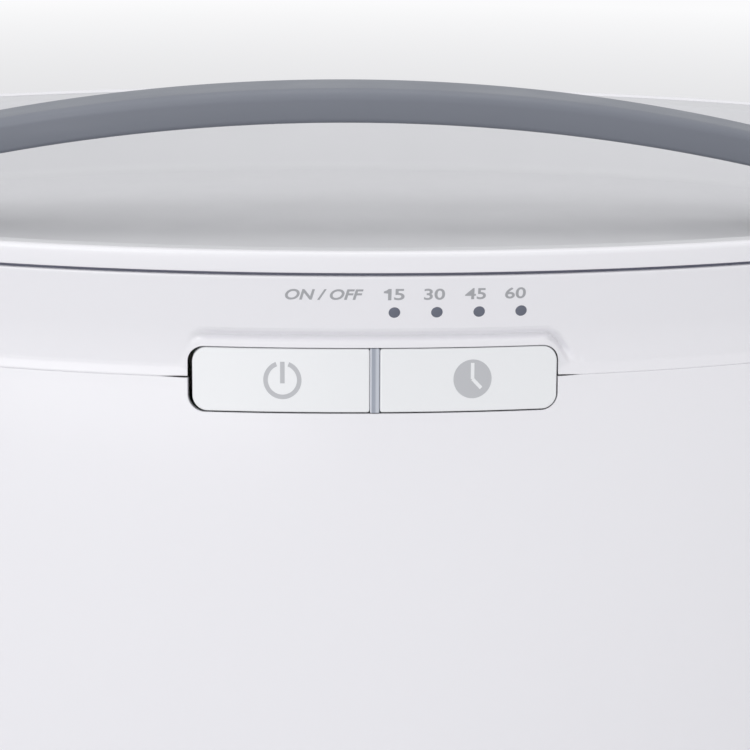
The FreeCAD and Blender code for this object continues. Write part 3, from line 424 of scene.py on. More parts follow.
def one_skin(block, back, turns):
    """The window's block, the rows round the back and the whole turns, faced outwards and joined."""
    parts = [(*flat_grid(block), AHEAD), (*flat_grid(back), BEHIND), (*flat_grid(turns, wrap=True), AHEAD)]
    return weld([(points, facing(points, faces, way)) for points, faces, way in parts])


def close_the_seam(points, side):
    """Away from the window the two shells nearly touch: each edge moves SEAM_MOVE towards the seam.

    The move fades out over the millimetre next to the edge, and over 6 mm beside the window.
    """
    away = ease((np.hypot(points[:, 0], np.maximum(points[:, 1], 0)) - WINDOW_HALF - 0.15)/6)
    near = np.clip(1.4 - np.abs(points[:, 2] - SEAM - side*SEAM_GAP/2), 0, 1)
    return points - np.stack([0*near, 0*near, side*SEAM_MOVE*away*near], -1)


print("window", round(window_foot, 2), "to", round(window_top, 2))

# %% [markdown]
# ## Lower body
# The tub is a thin moulded wall, open at the top and the bottom. Its notch, its top edge and its foot get a
# small radius, because a sharp edge would catch no light. A square hole at the back hides under a round pad.

# %% Lower body shell
BODY_BLOCK = 150.0  # height of the lower edge of the rectangle round the notch
PAD_HOLE = 8.0  # half the width of the square hole that the pad covers
gland_height = (gland_low[2] + gland_high[2])/2
levels = np.linspace(BODY_BLOCK, FOOT + EDGE, 52)
skin, skin_faces, _ = one_skin(*notched_skin(body_top - EDGE, window_foot - EDGE, BODY_BLOCK,
                                             lambda x, z: body_inset(z)),
                               profile_rows(body_inset(levels), levels))
middle = skin[skin_faces].mean(1)
from_gland = np.maximum(np.abs(middle[:, 0]), np.abs(middle[:, 2] - gland_height))
skin_faces = skin_faces[(middle[:, 1] < 0) | (from_gland >= PAD_HOLE)]
points, faces, inside = thicken(skin, skin - WALL*vertex_normals(skin, skin_faces), skin_faces, EDGE)
body_shell = finish_piece(make_mesh("body_shell", close_the_seam(points, -1), faces, inside=inside),
                          "tub", "body_white", "lower_body_shell")
print("body shell", len(points), "points")


# %% Pad and gland on the back
def turned(name, corners):
    """A closed outline of (radius, y) turned about the gland's own level axis."""
    profile = fill_in(rounded_profile(corners, 6), 2.0)
    angle = np.linspace(0, 2*math.pi, 96, endpoint=False)
    radius, y = profile[:, None, 0], profile[:, None, 1] + 0*angle
    points = np.stack([radius*np.cos(angle), y, gland_height + radius*np.sin(angle)], -1).reshape(-1, 3)
    return make_mesh(name, points, facing(points, grid_faces(len(profile), 96, True, True), UPWARD))


PAD_RADIUS, PAD_BACK, COLLAR_RADIUS, STEM, BORE = 13.0, 99.0, 10.0, 7.0, 3.6
pad_face = gland_high[1] - 2.0
pad = finish_piece(turned("gland_pad", [(PAD_RADIUS, PAD_BACK, 0.4), (PAD_RADIUS, pad_face, 0.9),
                                        (STEM + 0.15, pad_face, 0.25), (STEM + 0.15, PAD_BACK, 0.4)]),
                   "tub", "body_white")
gland = finish_piece(turned("gland", [(BORE, gland_low[1], 0.3), (STEM, gland_low[1], 0.3),
                                      (STEM, pad_face + 0.02, 0.1), (COLLAR_RADIUS, pad_face + 0.02, 0.2),
                                      (COLLAR_RADIUS, gland_high[1], 0.7), (BORE, gland_high[1], 0.6)]),
                     "tub", "gland_grey", "cord_gland")
print("pad face at", round(pad_face, 2))

# %% [markdown]
# ## Control collar
# The collar is one moulding: the skirt with its ledge and hood, the flat rim, and the funnel that leads wax
# back to the tank. Its outline is an open path, so the same path is written twice, outside and inside, with
# as many points in each run. The inner one lies a wall further in, and the two make a solid wall.

# %% Collar
HOOD_BLOCK = 174.0  # height of the upper edge of the rectangle round the notch
THROAT = RIM - 10.2  # foot of the funnel
join_inset = float(collar_inset(np.array(HOOD_BLOCK)))
counts = [22, 4, 8, 4]
outside = open_path([(join_inset, HOOD_BLOCK, 0), (0, RIM, 0.35), (9, RIM, 0.8), (18, RIM - 7.4, 0.6),
                     (18, THROAT, 0)], counts)
lining = open_path([(join_inset + WALL, HOOD_BLOCK, 0), (WALL + 0.15, RIM - WALL, 0.06),
                    (8.1, RIM - WALL, 0.5), (15.2, RIM - 8.3, 0.4), (15.2, THROAT, 0)], counts)
notch = SEAM + 0.02 + EDGE, window_top + EDGE, HOOD_BLOCK
skin, skin_faces, kept = one_skin(*notched_skin(*notch, collar_face), profile_rows(*outside.T))
inner_grids = [*notched_skin(*notch, lambda x, z: collar_face(x, z) + WALL), profile_rows(*lining.T)]
inner = np.vstack([grid.reshape(-1, 3) for grid in inner_grids])[kept]
points, faces, inside = thicken(skin, inner, skin_faces, EDGE)
collar = finish_piece(make_mesh("control_collar_shell", close_the_seam(points, 1), faces, inside=inside),
                      "tub", "body_white", "control_collar")
print("collar", len(points), "points")

# %% [markdown]
# ## Buttons and light bar
# Each button is a rounded tablet whose face lies in the flush surface. A row of its grid gets shorter near
# the top and the foot, by the circle's own formula, so the outline is round without any loose triangles.


# %% Buttons and the bar between them
def tablet(name, left, right, foot, top, left_radius, right_radius, depth, edge, columns=110):
    """Rows by height. Each side draws in by r - sqrt(r^2 - d^2), d being how far a row is into a corner."""
    left, right, foot, top = left + edge, right - edge, foot + edge, top - edge
    big = max(left_radius, right_radius) - edge
    turn = np.linspace(0, math.pi/2, 14)
    z = np.concatenate([foot + big*(1 - np.cos(turn)), np.linspace(foot + big, top - big, 24)[1:-1],
                        top - big*(1 - np.sin(turn))])

    def side(radius):
        radius = max(radius - edge, 0.05)
        d = np.maximum(np.maximum(foot + radius - z, z - (top - radius)), 0)
        return radius - np.sqrt(np.maximum(radius**2 - d**2, 0))

    share = np.linspace(0, 1, columns)[None]
    x = (left + side(left_radius))[:, None]*(1 - share) + (right - side(right_radius))[:, None]*share
    z = np.broadcast_to(z[:, None], x.shape)
    skin = front(flush_inset(z), x, z).reshape(-1, 3)
    inner = front(flush_inset(z) + depth, x, z).reshape(-1, 3)
    points, faces, inside = thicken(skin, inner, facing(skin, grid_faces(*x.shape), AHEAD), edge, steps=5)
    points, faces, kept = weld([(points, faces)])
    return make_mesh(name, points, faces, inside=inside[kept])


bar_left, bar_right = bar_low[0] + 0.06, timer_low[0] - 0.08
key_foot, key_top = window_foot + 0.25, window_top - 0.22
OUTER_CORNER, INNER_CORNER, KEY_DEPTH, KEY_EDGE = 3.0, 0.5, 4.4, 0.28
power = finish_piece(tablet("power_key", power_low[0], bar_low[0] - 0.02, key_foot, key_top,
                            OUTER_CORNER, INNER_CORNER, KEY_DEPTH, KEY_EDGE),
                     "power_button", "button_white", "power_button")
timer = finish_piece(tablet("timer_key", timer_low[0], timer_high[0] + 0.8, key_foot, key_top,
                            INNER_CORNER, OUTER_CORNER, KEY_DEPTH, KEY_EDGE),
                     "timer_button", "button_white", "timer_button")
bar = finish_piece(tablet("light_bar", bar_left, bar_right, window_foot + 0.15, window_top - 0.15,
                          0.2, 0.2, 6.0, 0.15, columns=9), "tub", "light_bar_grey", "button_light_bar")
print("bar from", round(bar_left, 2), "to", round(bar_right, 2))

# %% [markdown]
# ## Seal, ring and dished panel of the lid
# The ring is the white band that shows from the front. A dark soft seal keeps it a little off the rim. Inside
# the ring lies the grey panel: a level border, a brink, a slope, and a flat floor under the handle.

# %% Seal, ring and panel
seal = finish_piece(swept_ring("rim_seal_band", [(1.2, RIM - 1.2, 0.2), (1.2, LID_SEAT - 0.02, 0.3),
                                                (4.2, LID_SEAT - 0.02, 0.3), (4.2, RIM - 1.2, 0.2)]),
                    "tub", "seal_blue_grey", "rim_seal")
ring_corners = [(0, LID_SEAT, 0.35), (0, LID_TOP + 0.02, 1.1), (2.2, LID_TOP - 0.05, 1.2),
                (3.4, LID_TOP - 0.45, 0.3), (3.4, LID_TOP - 1.6, 0.05), (2.6, LID_TOP - 1.6, 0.05),
                (2.6, LID_SEAT, 0.3)]
ring = finish_piece(swept_ring("lid_ring_band", ring_corners, 2.0, 480, 8), "lid", "body_white", "lid_ring")

FLOOR, FLOOR_INSET = 170.0, 40.0
upper = open_path([(3.55, LID_TOP - 0.6, 0), (9.9, LID_TOP - 1.1, 4.0), (34, FLOOR, 9.0),
                   (FLOOR_INSET, FLOOR, 0)], [8, 30, 4], 10)
under = open_path([(2.75, LID_TOP - 3.2, 0), (9.9, LID_TOP - 3.7, 4.0), (32.75, FLOOR - WALL, 11.0),
                   (FLOOR_INSET, FLOOR - WALL, 0)], [8, 30, 4], 10)
lip = np.array([(2.75, LID_TOP - 1.6), (3.55, LID_TOP - 1.6)])
angle = np.linspace(0, 2*math.pi, 360, endpoint=False)


def carried(profile):
    """An (inset, z) path turned round the whole oval."""
    return oval(profile[:, None, 0], angle[None], profile[:, None, 1])


def floor_rings(z):
    """The floor's ellipses shrink to a point in the middle: each is the widest one times a share."""
    share = np.linspace(0, 1, 30)[:-1, None, None]
    return carried(np.array([[FLOOR_INSET, 0.0]]))*share + [0, 0, z]


rings = np.concatenate([floor_rings(FLOOR), carried(upper[::-1]), carried(lip[::-1]), carried(under),
                        floor_rings(FLOOR - WALL)[::-1]])
points, faces, _ = weld([flat_grid(rings, wrap=True)])
panel = finish_piece(make_mesh("lid_dish", points, facing(points, faces, UPWARD)),
                     "lid", "lid_grey", "lid_panel")
print("panel", len(points), "points")

# %% [markdown]
# ## Handle
# The handle is a shallow arch that springs from two feet on the dish's floor. Two paths describe it from the
# side, the outer and the inner one, with as many points each. A rounded section is spanned between them.


# %% Arched handle
def arch_path(radius, reach, foot, top_z, end_round):
    """Up one foot, round a corner, over a circular arc whose top is at top_z, and down again.

    The corner is a quarter of a circle between the foot's vertical line and the arc's end.
    """
    edge_x = reach - end_round
    x = np.linspace(-edge_x, edge_x, 120)
    arc = np.stack([x, top_z - radius + np.sqrt(radius**2 - x**2)], -1)
    turn = np.linspace(0, math.pi/2, 10, endpoint=False)
    bend = np.stack([-reach + end_round*(1 - np.cos(turn)), arc[0, 1] - end_round*(1 - np.sin(turn))], -1)
    straight = np.stack([np.full(6, -reach), np.linspace(foot, bend[0, 1], 6, endpoint=False)], -1)
    left = np.vstack([straight, bend])
    return np.vstack([left, arc, (left*[-1, 1])[::-1]])


ARCH_RADIUS, THICKNESS = 492.0, 8.4
TOP_ROUND, UNDER_ROUND = 3.6, 1.4
half_width, handle_top = handle_high[1:]
outer = arch_path(ARCH_RADIUS, 150.0, FLOOR, handle_top, 8.0)
inner = arch_path(ARCH_RADIUS - THICKNESS, 133.0, FLOOR, handle_top - THICKNESS, 3.0)


def section():
    """The right half's (y, height) points: big arcs hang from the top path, small ones stand on the other.

    Each height starts from its own path, and the last column is 1 for the outer path and 0 for the inner.
    """
    quarter = np.linspace(0, math.pi/2, 9)
    flat, low_flat = half_width - TOP_ROUND, half_width - UNDER_ROUND
    y = [np.linspace(0, flat, 6)[:-1], flat + TOP_ROUND*np.sin(quarter),
         low_flat + UNDER_ROUND*np.cos(quarter), np.linspace(low_flat, 0, 6)[1:]]
    height = [np.zeros(5), -TOP_ROUND*(1 - np.cos(quarter)), UNDER_ROUND*(1 - np.sin(quarter)), np.zeros(5)]
    upper = np.repeat([1.0, 0.0], 14)
    return np.stack([np.concatenate(y), np.concatenate(height), upper], -1)


half = section()
mirrored = np.delete(half, 13, 0)[::-1][1:-1]*[-1, 1, 1]  # less both middles and the big arc's last point
loop = np.vstack([half, mirrored])
across = outer - inner
height = loop[:, 1] + loop[:, 2]*np.linalg.norm(across, axis=1, keepdims=True)
spine = inner[:, None] + unit(across)[:, None]*height[..., None]
rings = np.stack([spine[..., 0], np.broadcast_to(loop[:, 0], height.shape), spine[..., 1]], -1)
caps = np.repeat(rings[[0, -1]].mean(1, keepdims=True), len(loop), 1)  # each end closes to its middle
points, faces, _ = weld([flat_grid(np.concatenate([caps[:1], rings, caps[1:]]), wrap=True)])
handle = finish_piece(make_mesh("lid_handle_arch", points, facing(points, faces, UPWARD)),
                      "lid", "handle_blue_grey", "lid_handle")
print("handle", len(points), "points, top", round(float(points[:, 2].max()), 2))

# %% [markdown]
# ## Printed marks
# The figures, the two words and the icons are printed on the mouldings, so they follow their curve. Text is
# made a mesh first, while it is still flat. Then each point keeps its x and height and takes the depth of the
# surface under it, a few hundredths of a millimetre proud, like a layer of ink.


# %% Words and figures
INK = 0.03  # how far a mark stands out
SUNK = -0.1  # and how deep its back lies


def lay_on(flat, inset_at, lift):
    """A flat (x, height) point goes to the oval's front at the surface's own inset less the lift."""
    x, z = flat[:, 0], flat[:, 1]
    return front(inset_at(x, z) - lift, x, z)


def printed_shape(name, outlines, inset_at, body, slot, proud=INK, sunk=SUNK):
    """Each outline is a grid of flat points (rows, columns, 2). It gets a front, a back and closed edges."""
    parts = []
    for outline in outlines:
        flat = outline.reshape(-1, 2)
        skin = lay_on(flat, inset_at, proud)
        faces = facing(skin, grid_faces(*outline.shape[:2]), AHEAD)
        skin, faces, kept = weld([(skin, faces)], 1e-5)
        parts.append(thicken(skin, lay_on(flat, inset_at, sunk)[kept], faces, 0.008, 2)[:2])
    points, faces, _ = weld(parts, 1e-5)
    return finish_piece(make_mesh(name, points, faces, smooth=False), body, slot)


def printed_text(name, words, left, right, height, weight, slant=0.0):
    """Text is set flat, closed at its edges, stretched to its width and height, and laid on the collar."""
    curve = bpy.data.curves.new(name, "FONT")
    curve.body = words
    curve.shear, curve.offset, curve.extrude = slant, weight, 0.02
    curve.resolution_u = 6
    letters = add(name + "_flat", curve)
    bpy.context.view_layer.update()
    mesh = bpy.data.meshes.new_from_object(letters)
    bpy.data.objects.remove(letters)
    edit = bmesh.new()
    edit.from_mesh(mesh)
    bmesh.ops.remove_doubles(edit, verts=edit.verts, dist=1e-5)
    bmesh.ops.holes_fill(edit, edges=edit.edges)
    edit.to_mesh(mesh)
    edit.free()
    flat = np.zeros(len(mesh.vertices)*3)
    mesh.vertices.foreach_get("co", flat)
    flat = flat.reshape(-1, 3)
    low, high = flat[:, :2].min(0), flat[:, :2].max(0)
    place = (flat[:, :2] - (low + high)/2)/(high - low)*[right - left, height]
    place += [(left + right)/2, FIGURE_LEVEL]
    points = lay_on(place, collar_face, np.where(flat[:, 2] > 0, INK, SUNK))
    mesh.vertices.foreach_set("co", (points*MM).ravel())
    mesh.name = name
    return finish_piece(add(name, mesh), "tub", "light_bar_grey")


FIGURE_LEVEL, FIGURE_HEIGHT = 181.42, 2.42
FIGURES = (("minutes_15", "5", 4.05, 6.1), ("minutes_30", "30", 9.95, 14.1),
           ("minutes_45", "45", 18.1, 22.25), ("minutes_60", "60", 26.1, 30.25))
marks = [printed_text(*row, FIGURE_HEIGHT, 0.016) for row in FIGURES]
foot, head = FIGURE_LEVEL - FIGURE_HEIGHT/2, FIGURE_LEVEL + FIGURE_HEIGHT/2
one_levels = np.array([foot, head - 0.98, head - 0.88, head - 0.55, head - 0.3, head])
one_left = np.array([2.86, 2.86, 2.0, 2.0, 2.6, 2.95])
one = np.stack([np.stack([one_left, one_levels], -1), np.stack([0*one_left + 3.5, one_levels], -1)], 1)
marks.append(printed_shape("figure_one", [one], collar_face, "tub", "light_bar_grey"))
marks.append(printed_text("on_and_off", "ON / OFF", -17.4, -2.0, 2.3, 0.024, slant=0.24))
print("marks", [mark.name for mark in marks])


# %% Icons on the buttons
def ring_grid(x, z, inner, outer, start, end, steps=96):
    """Arcs between two radii: (x + r sin a, z + r cos a), with a measured from straight up."""
    a = np.radians(np.linspace(start, end, steps))[None]
    r = np.linspace(inner, outer, 2)[:, None]
    return np.stack([x + r*np.sin(a), z + r*np.cos(a)], -1)


def stroke_grid(x0, z0, x1, z1, width):
    """A straight stroke: its middle line, offset half the width to each side."""
    along = np.array([x1 - x0, z1 - z0])
    side = np.array([-along[1], along[0]])/np.linalg.norm(along)*width/2
    middle = np.array([x0, z0]) + along*np.linspace(0, 1, 9)[None, :, None]
    return middle + side*np.array([-1.0, 1.0])[:, None, None]


def flush_at(x, z):
    return flush_inset(z)


POWER_X, POWER_Z = -17.95, 163.4
power_icon = printed_shape("power_mark", [ring_grid(POWER_X, POWER_Z, 2.92, 3.8, 21, 339),
                                          stroke_grid(POWER_X, POWER_Z - 0.65, POWER_X, POWER_Z + 3.6, 0.88)],
                           flush_at, "power_button", "light_bar_grey")
CLOCK_X, CLOCK_Z = 20.2, 163.45
clock_icon = printed_shape("clock_mark", [ring_grid(CLOCK_X, CLOCK_Z, 0.0, 3.86, 0, 360, 145)], flush_at,
                           "timer_button", "light_bar_grey")
hands = [printed_shape(name, [stroke_grid(CLOCK_X, CLOCK_Z, tip_x, tip_z, 0.7)], flush_at,
                       "timer_button", "button_white", proud=2*INK, sunk=0.0)
         for name, tip_x, tip_z in (("clock_hand_long", CLOCK_X, CLOCK_Z + 3.2),
                                    ("clock_hand_short", CLOCK_X + 1.75, CLOCK_Z - 1.85))]
print("icons", power_icon.name, clock_icon.name, [hand.name for hand in hands])

# %% [markdown]
# ## Four time lights
# Each light is the end of a small grey pin. A shallow dome on the collar's face stands for it, and its height
# falls with the square of the distance from the middle.

# %% Time lights
DOT, DOT_STEP, FIRST_DOT, DOME = 1.15, 8.45, 4.2, 0.16
dot_z = (lens_low[2] + lens_high[2])/2
share = np.linspace(0, 1, 9)
rho = np.concatenate([share, share[::-1]])[:, None]*DOT
depth = np.concatenate([-DOME*(1 - share**2) - 0.02, np.full(9, 0.8)])[:, None]
turn = np.linspace(0, 2*math.pi, 40, endpoint=False)[None]
domes = []
for k in range(4):
    x = FIRST_DOT + DOT_STEP*k + rho*np.cos(turn)
    z = dot_z + rho*np.sin(turn)
    points = front(collar_inset(z), x, z)
    points[..., 1] += depth
    points, faces, _ = weld([flat_grid(points, wrap=True)])
    domes.append((points, facing(points, faces, AHEAD)))
points, faces, _ = weld(domes)
dots = finish_piece(make_mesh("time_lights", points, faces), "tub", "lens_grey", "indicator_lens")
print("lights at height", round(float(dot_z), 2))

# %% [markdown]
# ## Finishes
# Every plastic here is a Principled shader with three quiet patterns on top: a slow change of tone as in any
# moulding, a change of roughness that breaks up the highlights, and a fine bump for the mould's own texture.
# The patterns read Object coordinates, so they stay on the surface when the part moves.


# %% A helper for moulded finishes
def srgb(*levels):
    """Display levels from 0 to 255 become linear light: ((c + 0.055)/1.055)^2.4 above the dark end."""
    c = np.array(levels, float)/255
    linear = np.where(c > 0.04045, ((c + 0.055)/1.055)**2.4, c/12.92)
    return (*[float(v) for v in linear], 1.0)


def fill_sockets(tree, node, inputs):
    """An input that is given another node's socket is linked to it, and any other is set to its value."""
    for key, level in inputs.items():
        if isinstance(level, bpy.types.NodeSocket):
            tree.links.new(level, node.inputs[key])
        else:
            node.inputs[key].default_value = level
    return node


class Finish:
    """A material under construction: it keeps its node tree, its shader and its Object coordinates."""

    def __init__(self, name, **sockets):
        self.material = bpy.data.materials.new(name)
        self.material.use_nodes = True
        self.tree = self.material.node_tree
        self.shader = fill_sockets(self.tree, self.tree.nodes["Principled BSDF"], sockets)
        self.place = self.tree.nodes.new("ShaderNodeTexCoord").outputs["Object"]

    def node(self, kind, inputs, **settings):
        made = self.tree.nodes.new(kind)
        for key, level in settings.items():
            setattr(made, key, level)
        return fill_sockets(self.tree, made, inputs)

    def maths(self, operation, a, b):
        return self.node("ShaderNodeMath", {0: a, 1: b}, operation=operation).outputs[0]

    def noise(self, scale, detail=2.0, where=None):
        return self.node("ShaderNodeTexNoise", {"Vector": where or self.place, "Scale": scale,
                                                "Detail": detail}).outputs["Fac"]

    def stretched(self, x, y, z):
        """Object coordinates with a scale for each axis: a pattern gets longer where the scale is less."""
        return self.node("ShaderNodeMapping", {"Vector": self.place, "Scale": (x, y, z)}).outputs["Vector"]

    def between(self, factor, low, high, start=0.3, end=0.7):
        """The factor's range from start to end is spread over low to high."""
        return self.node("ShaderNodeMapRange", {"Value": factor, "From Min": start, "From Max": end,
                                                "To Min": low, "To Max": high}).outputs["Result"]

    def tones(self, factor, dark, light, start=0.3, end=0.7, between=()):
        """A ramp from dark at the start to light at the end, with more (position, colour) stops between."""
        ramp = self.node("ShaderNodeValToRGB", {"Fac": factor})
        stops = ramp.color_ramp.elements
        stops[0].position, stops[0].color = start, dark
        stops[1].position, stops[1].color = end, light
        for position, colour in between:
            stops.new(position).color = colour
        return ramp.outputs["Color"]

    def colour(self, *ramp, **more):
        fill_sockets(self.tree, self.shader, {"Base Color": self.tones(*ramp, **more)})

    def paint_shade_inside(self, colour):
        """The inner side of a shell is painted near black: painted shade that stands in for the shade in its
        gaps.
        """
        inside = self.node("ShaderNodeAttribute", {}, attribute_name="inside").outputs["Fac"]
        skin = self.shader.inputs["Base Color"].links[0].from_socket
        both = self.node("ShaderNodeMix", {0: inside, 6: skin, 7: colour}, data_type="RGBA")
        fill_sockets(self.tree, self.shader, {"Base Color": both.outputs[2]})

    def roughness(self, factor, low, high):
        fill_sockets(self.tree, self.shader, {"Roughness": self.between(factor, low, high)})

    def bump(self, height, distance):
        relief = self.node("ShaderNodeBump", {"Height": height, "Distance": distance, "Strength": 1.0})
        fill_sockets(self.tree, self.shader, {"Normal": relief.outputs["Normal"]})


def moulded(name, colour, rough, grain, depth, drift, spread=0.05):
    """Tone drifts by a share over centimetres, roughness by its spread; the grain is the mould's texture."""
    finish = Finish(name)
    finish.colour(finish.noise(9.0, 1.0), (*[c*(1 - drift) for c in colour[:3]], 1.0), colour)
    finish.roughness(finish.noise(60.0, 4.0), rough - spread, rough + spread)
    finish.bump(finish.noise(grain, 2.0), depth)
    # Painted shade: the inner side of every shell is painted near black, for the shade in its gaps.
    finish.paint_shade_inside(srgb(34, 34, 38))
    return finish.material


print("finish helpers ready")

# %% Body, lid and handle plastics
# slot, material's name, display colour, roughness, grain per metre and its depth in metres, drift of the
# tone, and the spread of the roughness where it isn't 0.05
PLASTICS = (
    ("body_white", "white_gloss_plastic", (236, 235, 239), 0.25, 900.0, 3e-6, 0.006, 0.02),
    ("button_white", "white_button_plastic", (235, 236, 238), 0.3, 900.0, 3e-6, 0.006, 0.02),
    ("lid_grey", "grey_lid_plastic", (209, 209, 212), 0.36, 1400.0, 5e-6, 0.02),
    ("handle_blue_grey", "blue_grey_handle_plastic", (119, 123, 133), 0.45, 2600.0, 1e-5, 0.04),
    ("seal_blue_grey", "seal_silicone", (112, 114, 130), 0.6, 3500.0, 8e-6, 0.06),
    ("lens_grey", "time_light_resin", (102, 106, 120), 0.22, 2500.0, 2e-6, 0.05),
    ("grille_white", "grille_plastic", (226, 227, 230), 0.45, 1600.0, 8e-6, 0.03),
    ("base_grey", "base_plastic", (214, 214, 217), 0.55, 1200.0, 2.5e-5, 0.04),
    ("rubber_grey", "foot_rubber", (86, 87, 92), 0.8, 3000.0, 2e-5, 0.15),
    ("gland_grey", "gland_nylon", (150, 152, 160), 0.45, 2200.0, 1.2e-5, 0.05),
    ("silicone_grey", "tank_gasket_silicone", (196, 197, 200), 0.65, 3000.0, 1e-5, 0.06),
    ("heater_rubber", "heater_silicone_rubber", (176, 92, 72), 0.7, 1500.0, 4e-5, 0.12),
    ("fuse_white", "ceramic_white", (232, 231, 226), 0.4, 2500.0, 6e-6, 0.04),
    ("switch_black", "black_component_plastic", (46, 46, 49), 0.5, 4000.0, 1e-5, 0.15),
    ("relay_blue", "relay_case_plastic", (62, 98, 164), 0.35, 2500.0, 6e-6, 0.08),
    ("led_clear", "clear_epoxy", (226, 230, 234), 0.12, 900.0, 2e-6, 0.04),
    ("words", "grey_print", (167, 168, 172), 0.5, 5000.0, 2e-6, 0.05),
    ("icons", "light_grey_print", (190, 191, 195), 0.45, 5000.0, 2e-6, 0.04),
)
finishes = {slot: moulded(name, srgb(*levels), *rest) for slot, name, levels, *rest in PLASTICS}
bar_resin = Finish("bar_resin_painted_shading", Roughness=0.25)
# Across its width the bar is painted in bands of lighter and darker grey: painted light and painted shade
# that stand in for the shading of a rounded face.
along_x = bar_resin.node("ShaderNodeSeparateXYZ", {0: bar_resin.place}).outputs["X"]
across_bar = bar_resin.between(along_x, 0.0, 1.0, bar_left*MM, bar_right*MM)
bar_resin.colour(across_bar, srgb(206, 208, 216), srgb(156, 161, 173), 0.1, 0.22,
                 between=((0.5, srgb(159, 164, 176)), (0.66, srgb(190, 194, 203)),
                          (0.84, srgb(196, 200, 209)), (0.93, srgb(176, 181, 192))))
bar_resin.bump(bar_resin.noise(1500.0), 2e-6)
finishes["light_bar_grey"] = bar_resin.material
print(len(finishes), "plastics")

# %% [markdown]
# ## Metals, fibre and boards
# The tank is drawn aluminium: long fine scratches run along it, so its noise is drawn out in x. Plated
# screws, stamped discs, the varnished core of the transformer and the green boards each get their own grain.

# %% Metals, fibre and boards
def worked(name, pattern, dark, light, rough_pattern, rough, bump_pattern, depth, **sockets):
    """Each pattern is a function of the finish: one sets the tone, one the roughness, one the height."""
    finish = Finish(name, **sockets)
    finish.colour(pattern(finish), srgb(*dark), srgb(*light))
    finish.roughness(rough_pattern(finish), *rough)
    finish.bump(bump_pattern(finish), depth)
    return finish.material


def grain(scale, detail, stretch=(1.0, 1.0, 1.0)):
    return lambda finish: finish.noise(scale, detail, finish.stretched(*stretch))


def sheets(finish):
    return finish.node("ShaderNodeTexWave", {"Vector": finish.place, "Scale": 320.0, "Distortion": 0.4},
                       bands_direction="Y").outputs["Fac"]


scratches, strands = grain(1.0, 6.0, (30.0, 1500.0, 2600.0)), grain(1.0, 8.0, (900.0, 900.0, 260.0))
finishes["tank_aluminium"] = worked("drawn_aluminium", scratches, (206, 208, 210), (226, 227, 229),
                                    scratches, (0.3, 0.42), scratches, 6e-6, Metallic=1.0, Anisotropic=0.35)
finishes["screw_steel"] = worked("plated_steel", grain(500.0, 3.0), (176, 177, 180), (200, 201, 204),
                                 grain(900.0, 4.0), (0.24, 0.42), grain(3000.0, 2.0), 1e-5, Metallic=1.0)
finishes["thermostat_metal"] = worked("stamped_disc", grain(260.0, 3.0), (182, 183, 184), (206, 206, 208),
                                      grain(700.0, 4.0), (0.3, 0.5), grain(1800.0, 3.0), 1.5e-5, Metallic=1.0)
finishes["transformer_steel"] = worked("varnished_core", sheets, (96, 90, 84), (142, 136, 128),
                                       grain(400.0, 2.0), (0.35, 0.55), sheets, 4e-5, Metallic=0.4)
finishes["insulation_fibre"] = worked("needled_fibre", strands, (214, 210, 198), (240, 237, 228),
                                      strands, (0.85, 0.98), strands, 4e-4)

board = Finish("green_board")
tracks = board.node("ShaderNodeTexBrick", {"Vector": board.place, "Scale": 90.0, "Mortar Size": 0.04,
                                           "Color1": srgb(38, 104, 62), "Color2": srgb(44, 116, 70),
                                           "Mortar": srgb(70, 140, 90)})
fill_sockets(board.tree, board.shader, {"Base Color": tracks.outputs["Color"]})
board.roughness(board.noise(300.0, 3.0), 0.28, 0.42)
board.bump(tracks.outputs["Fac"], 3e-5)
finishes["board_green"] = board.material
print(len(finishes), "finishes")


# %% Give every piece and every solid its finish
def dress(material, *things):
    for thing in things:
        thing.data.materials.clear()
        thing.data.materials.append(material)


dress(finishes["body_white"], body_shell, pad, collar, ring)
dress(finishes["button_white"], power, timer, *hands)
for slot, piece in (("gland_grey", gland), ("light_bar_grey", bar), ("seal_blue_grey", seal),
                    ("lid_grey", panel), ("handle_blue_grey", handle), ("lens_grey", dots)):
    dress(finishes[slot], piece)
dress(finishes["words"], *marks)
dress(finishes["icons"], power_icon, clock_icon)
for row in frame["record"]["subparts"]:
    for place in frame["nodes"][row["node"]].material_slots:
        place.material = finishes[row["material_slot"]]
print("dressed", len(frame["nodes"]), "solids")

# %% [markdown]
# ## Table, light and camera
# The table is plain and pale, and far away it fades into the pale backdrop. An even world lights everything.
# Three wide lamps add to it: one high at the front left brightens the ledge, one low at the front left
# evens out the body, and one overhead lights the dish and throws the handle's soft shadow on it.

# %% Table
ring_at = np.array([0.0, 0.3, 0.6, 1.0, 1.6, 2.6, 5.0, 9.0])[:, None]
turn = np.linspace(0, 2*math.pi, 96, endpoint=False)[None]
rings = np.stack(np.broadcast_arrays(ring_at*np.cos(turn), ring_at*np.sin(turn), ring_at*0), -1)
points, faces, _ = weld([flat_grid(rings, wrap=True)])
table = make_mesh("table", points/MM, faces, smooth=False)
BACKDROP = srgb(251, 251, 252)
top = Finish("table_top", **{"Base Color": srgb(228, 228, 229), "Roughness": 0.9})
distance = top.node("ShaderNodeVectorMath", {0: top.place}, operation="LENGTH").outputs["Value"]
# Far from the object the table glows for camera, glossy and transmission rays, grey nearer and white further
# out: painted light for how the light falls on it.
far = top.tones(top.between(distance, 0.0, 1.0, 1.2, 2.4), srgb(224, 224, 226), BACKDROP, 0.0, 1.0)
glow = top.node("ShaderNodeEmission", {"Color": far, "Strength": 1.0}).outputs[0]
rays = top.node("ShaderNodeLightPath", {}).outputs
seen = top.maths("MAXIMUM", rays["Is Camera Ray"], rays["Is Glossy Ray"])
seen = top.maths("MAXIMUM", seen, rays["Is Transmission Ray"])
amount = top.maths("MULTIPLY", seen, top.between(distance, 0.0, 1.0, 0.55, 1.2))
mixed = top.node("ShaderNodeMixShader", {0: amount, 1: top.shader.outputs[0], 2: glow})
fill_sockets(top.tree, top.tree.nodes["Material Output"], {"Surface": mixed.outputs[0]})
dress(top.material, table)
print("table", len(points), "points")

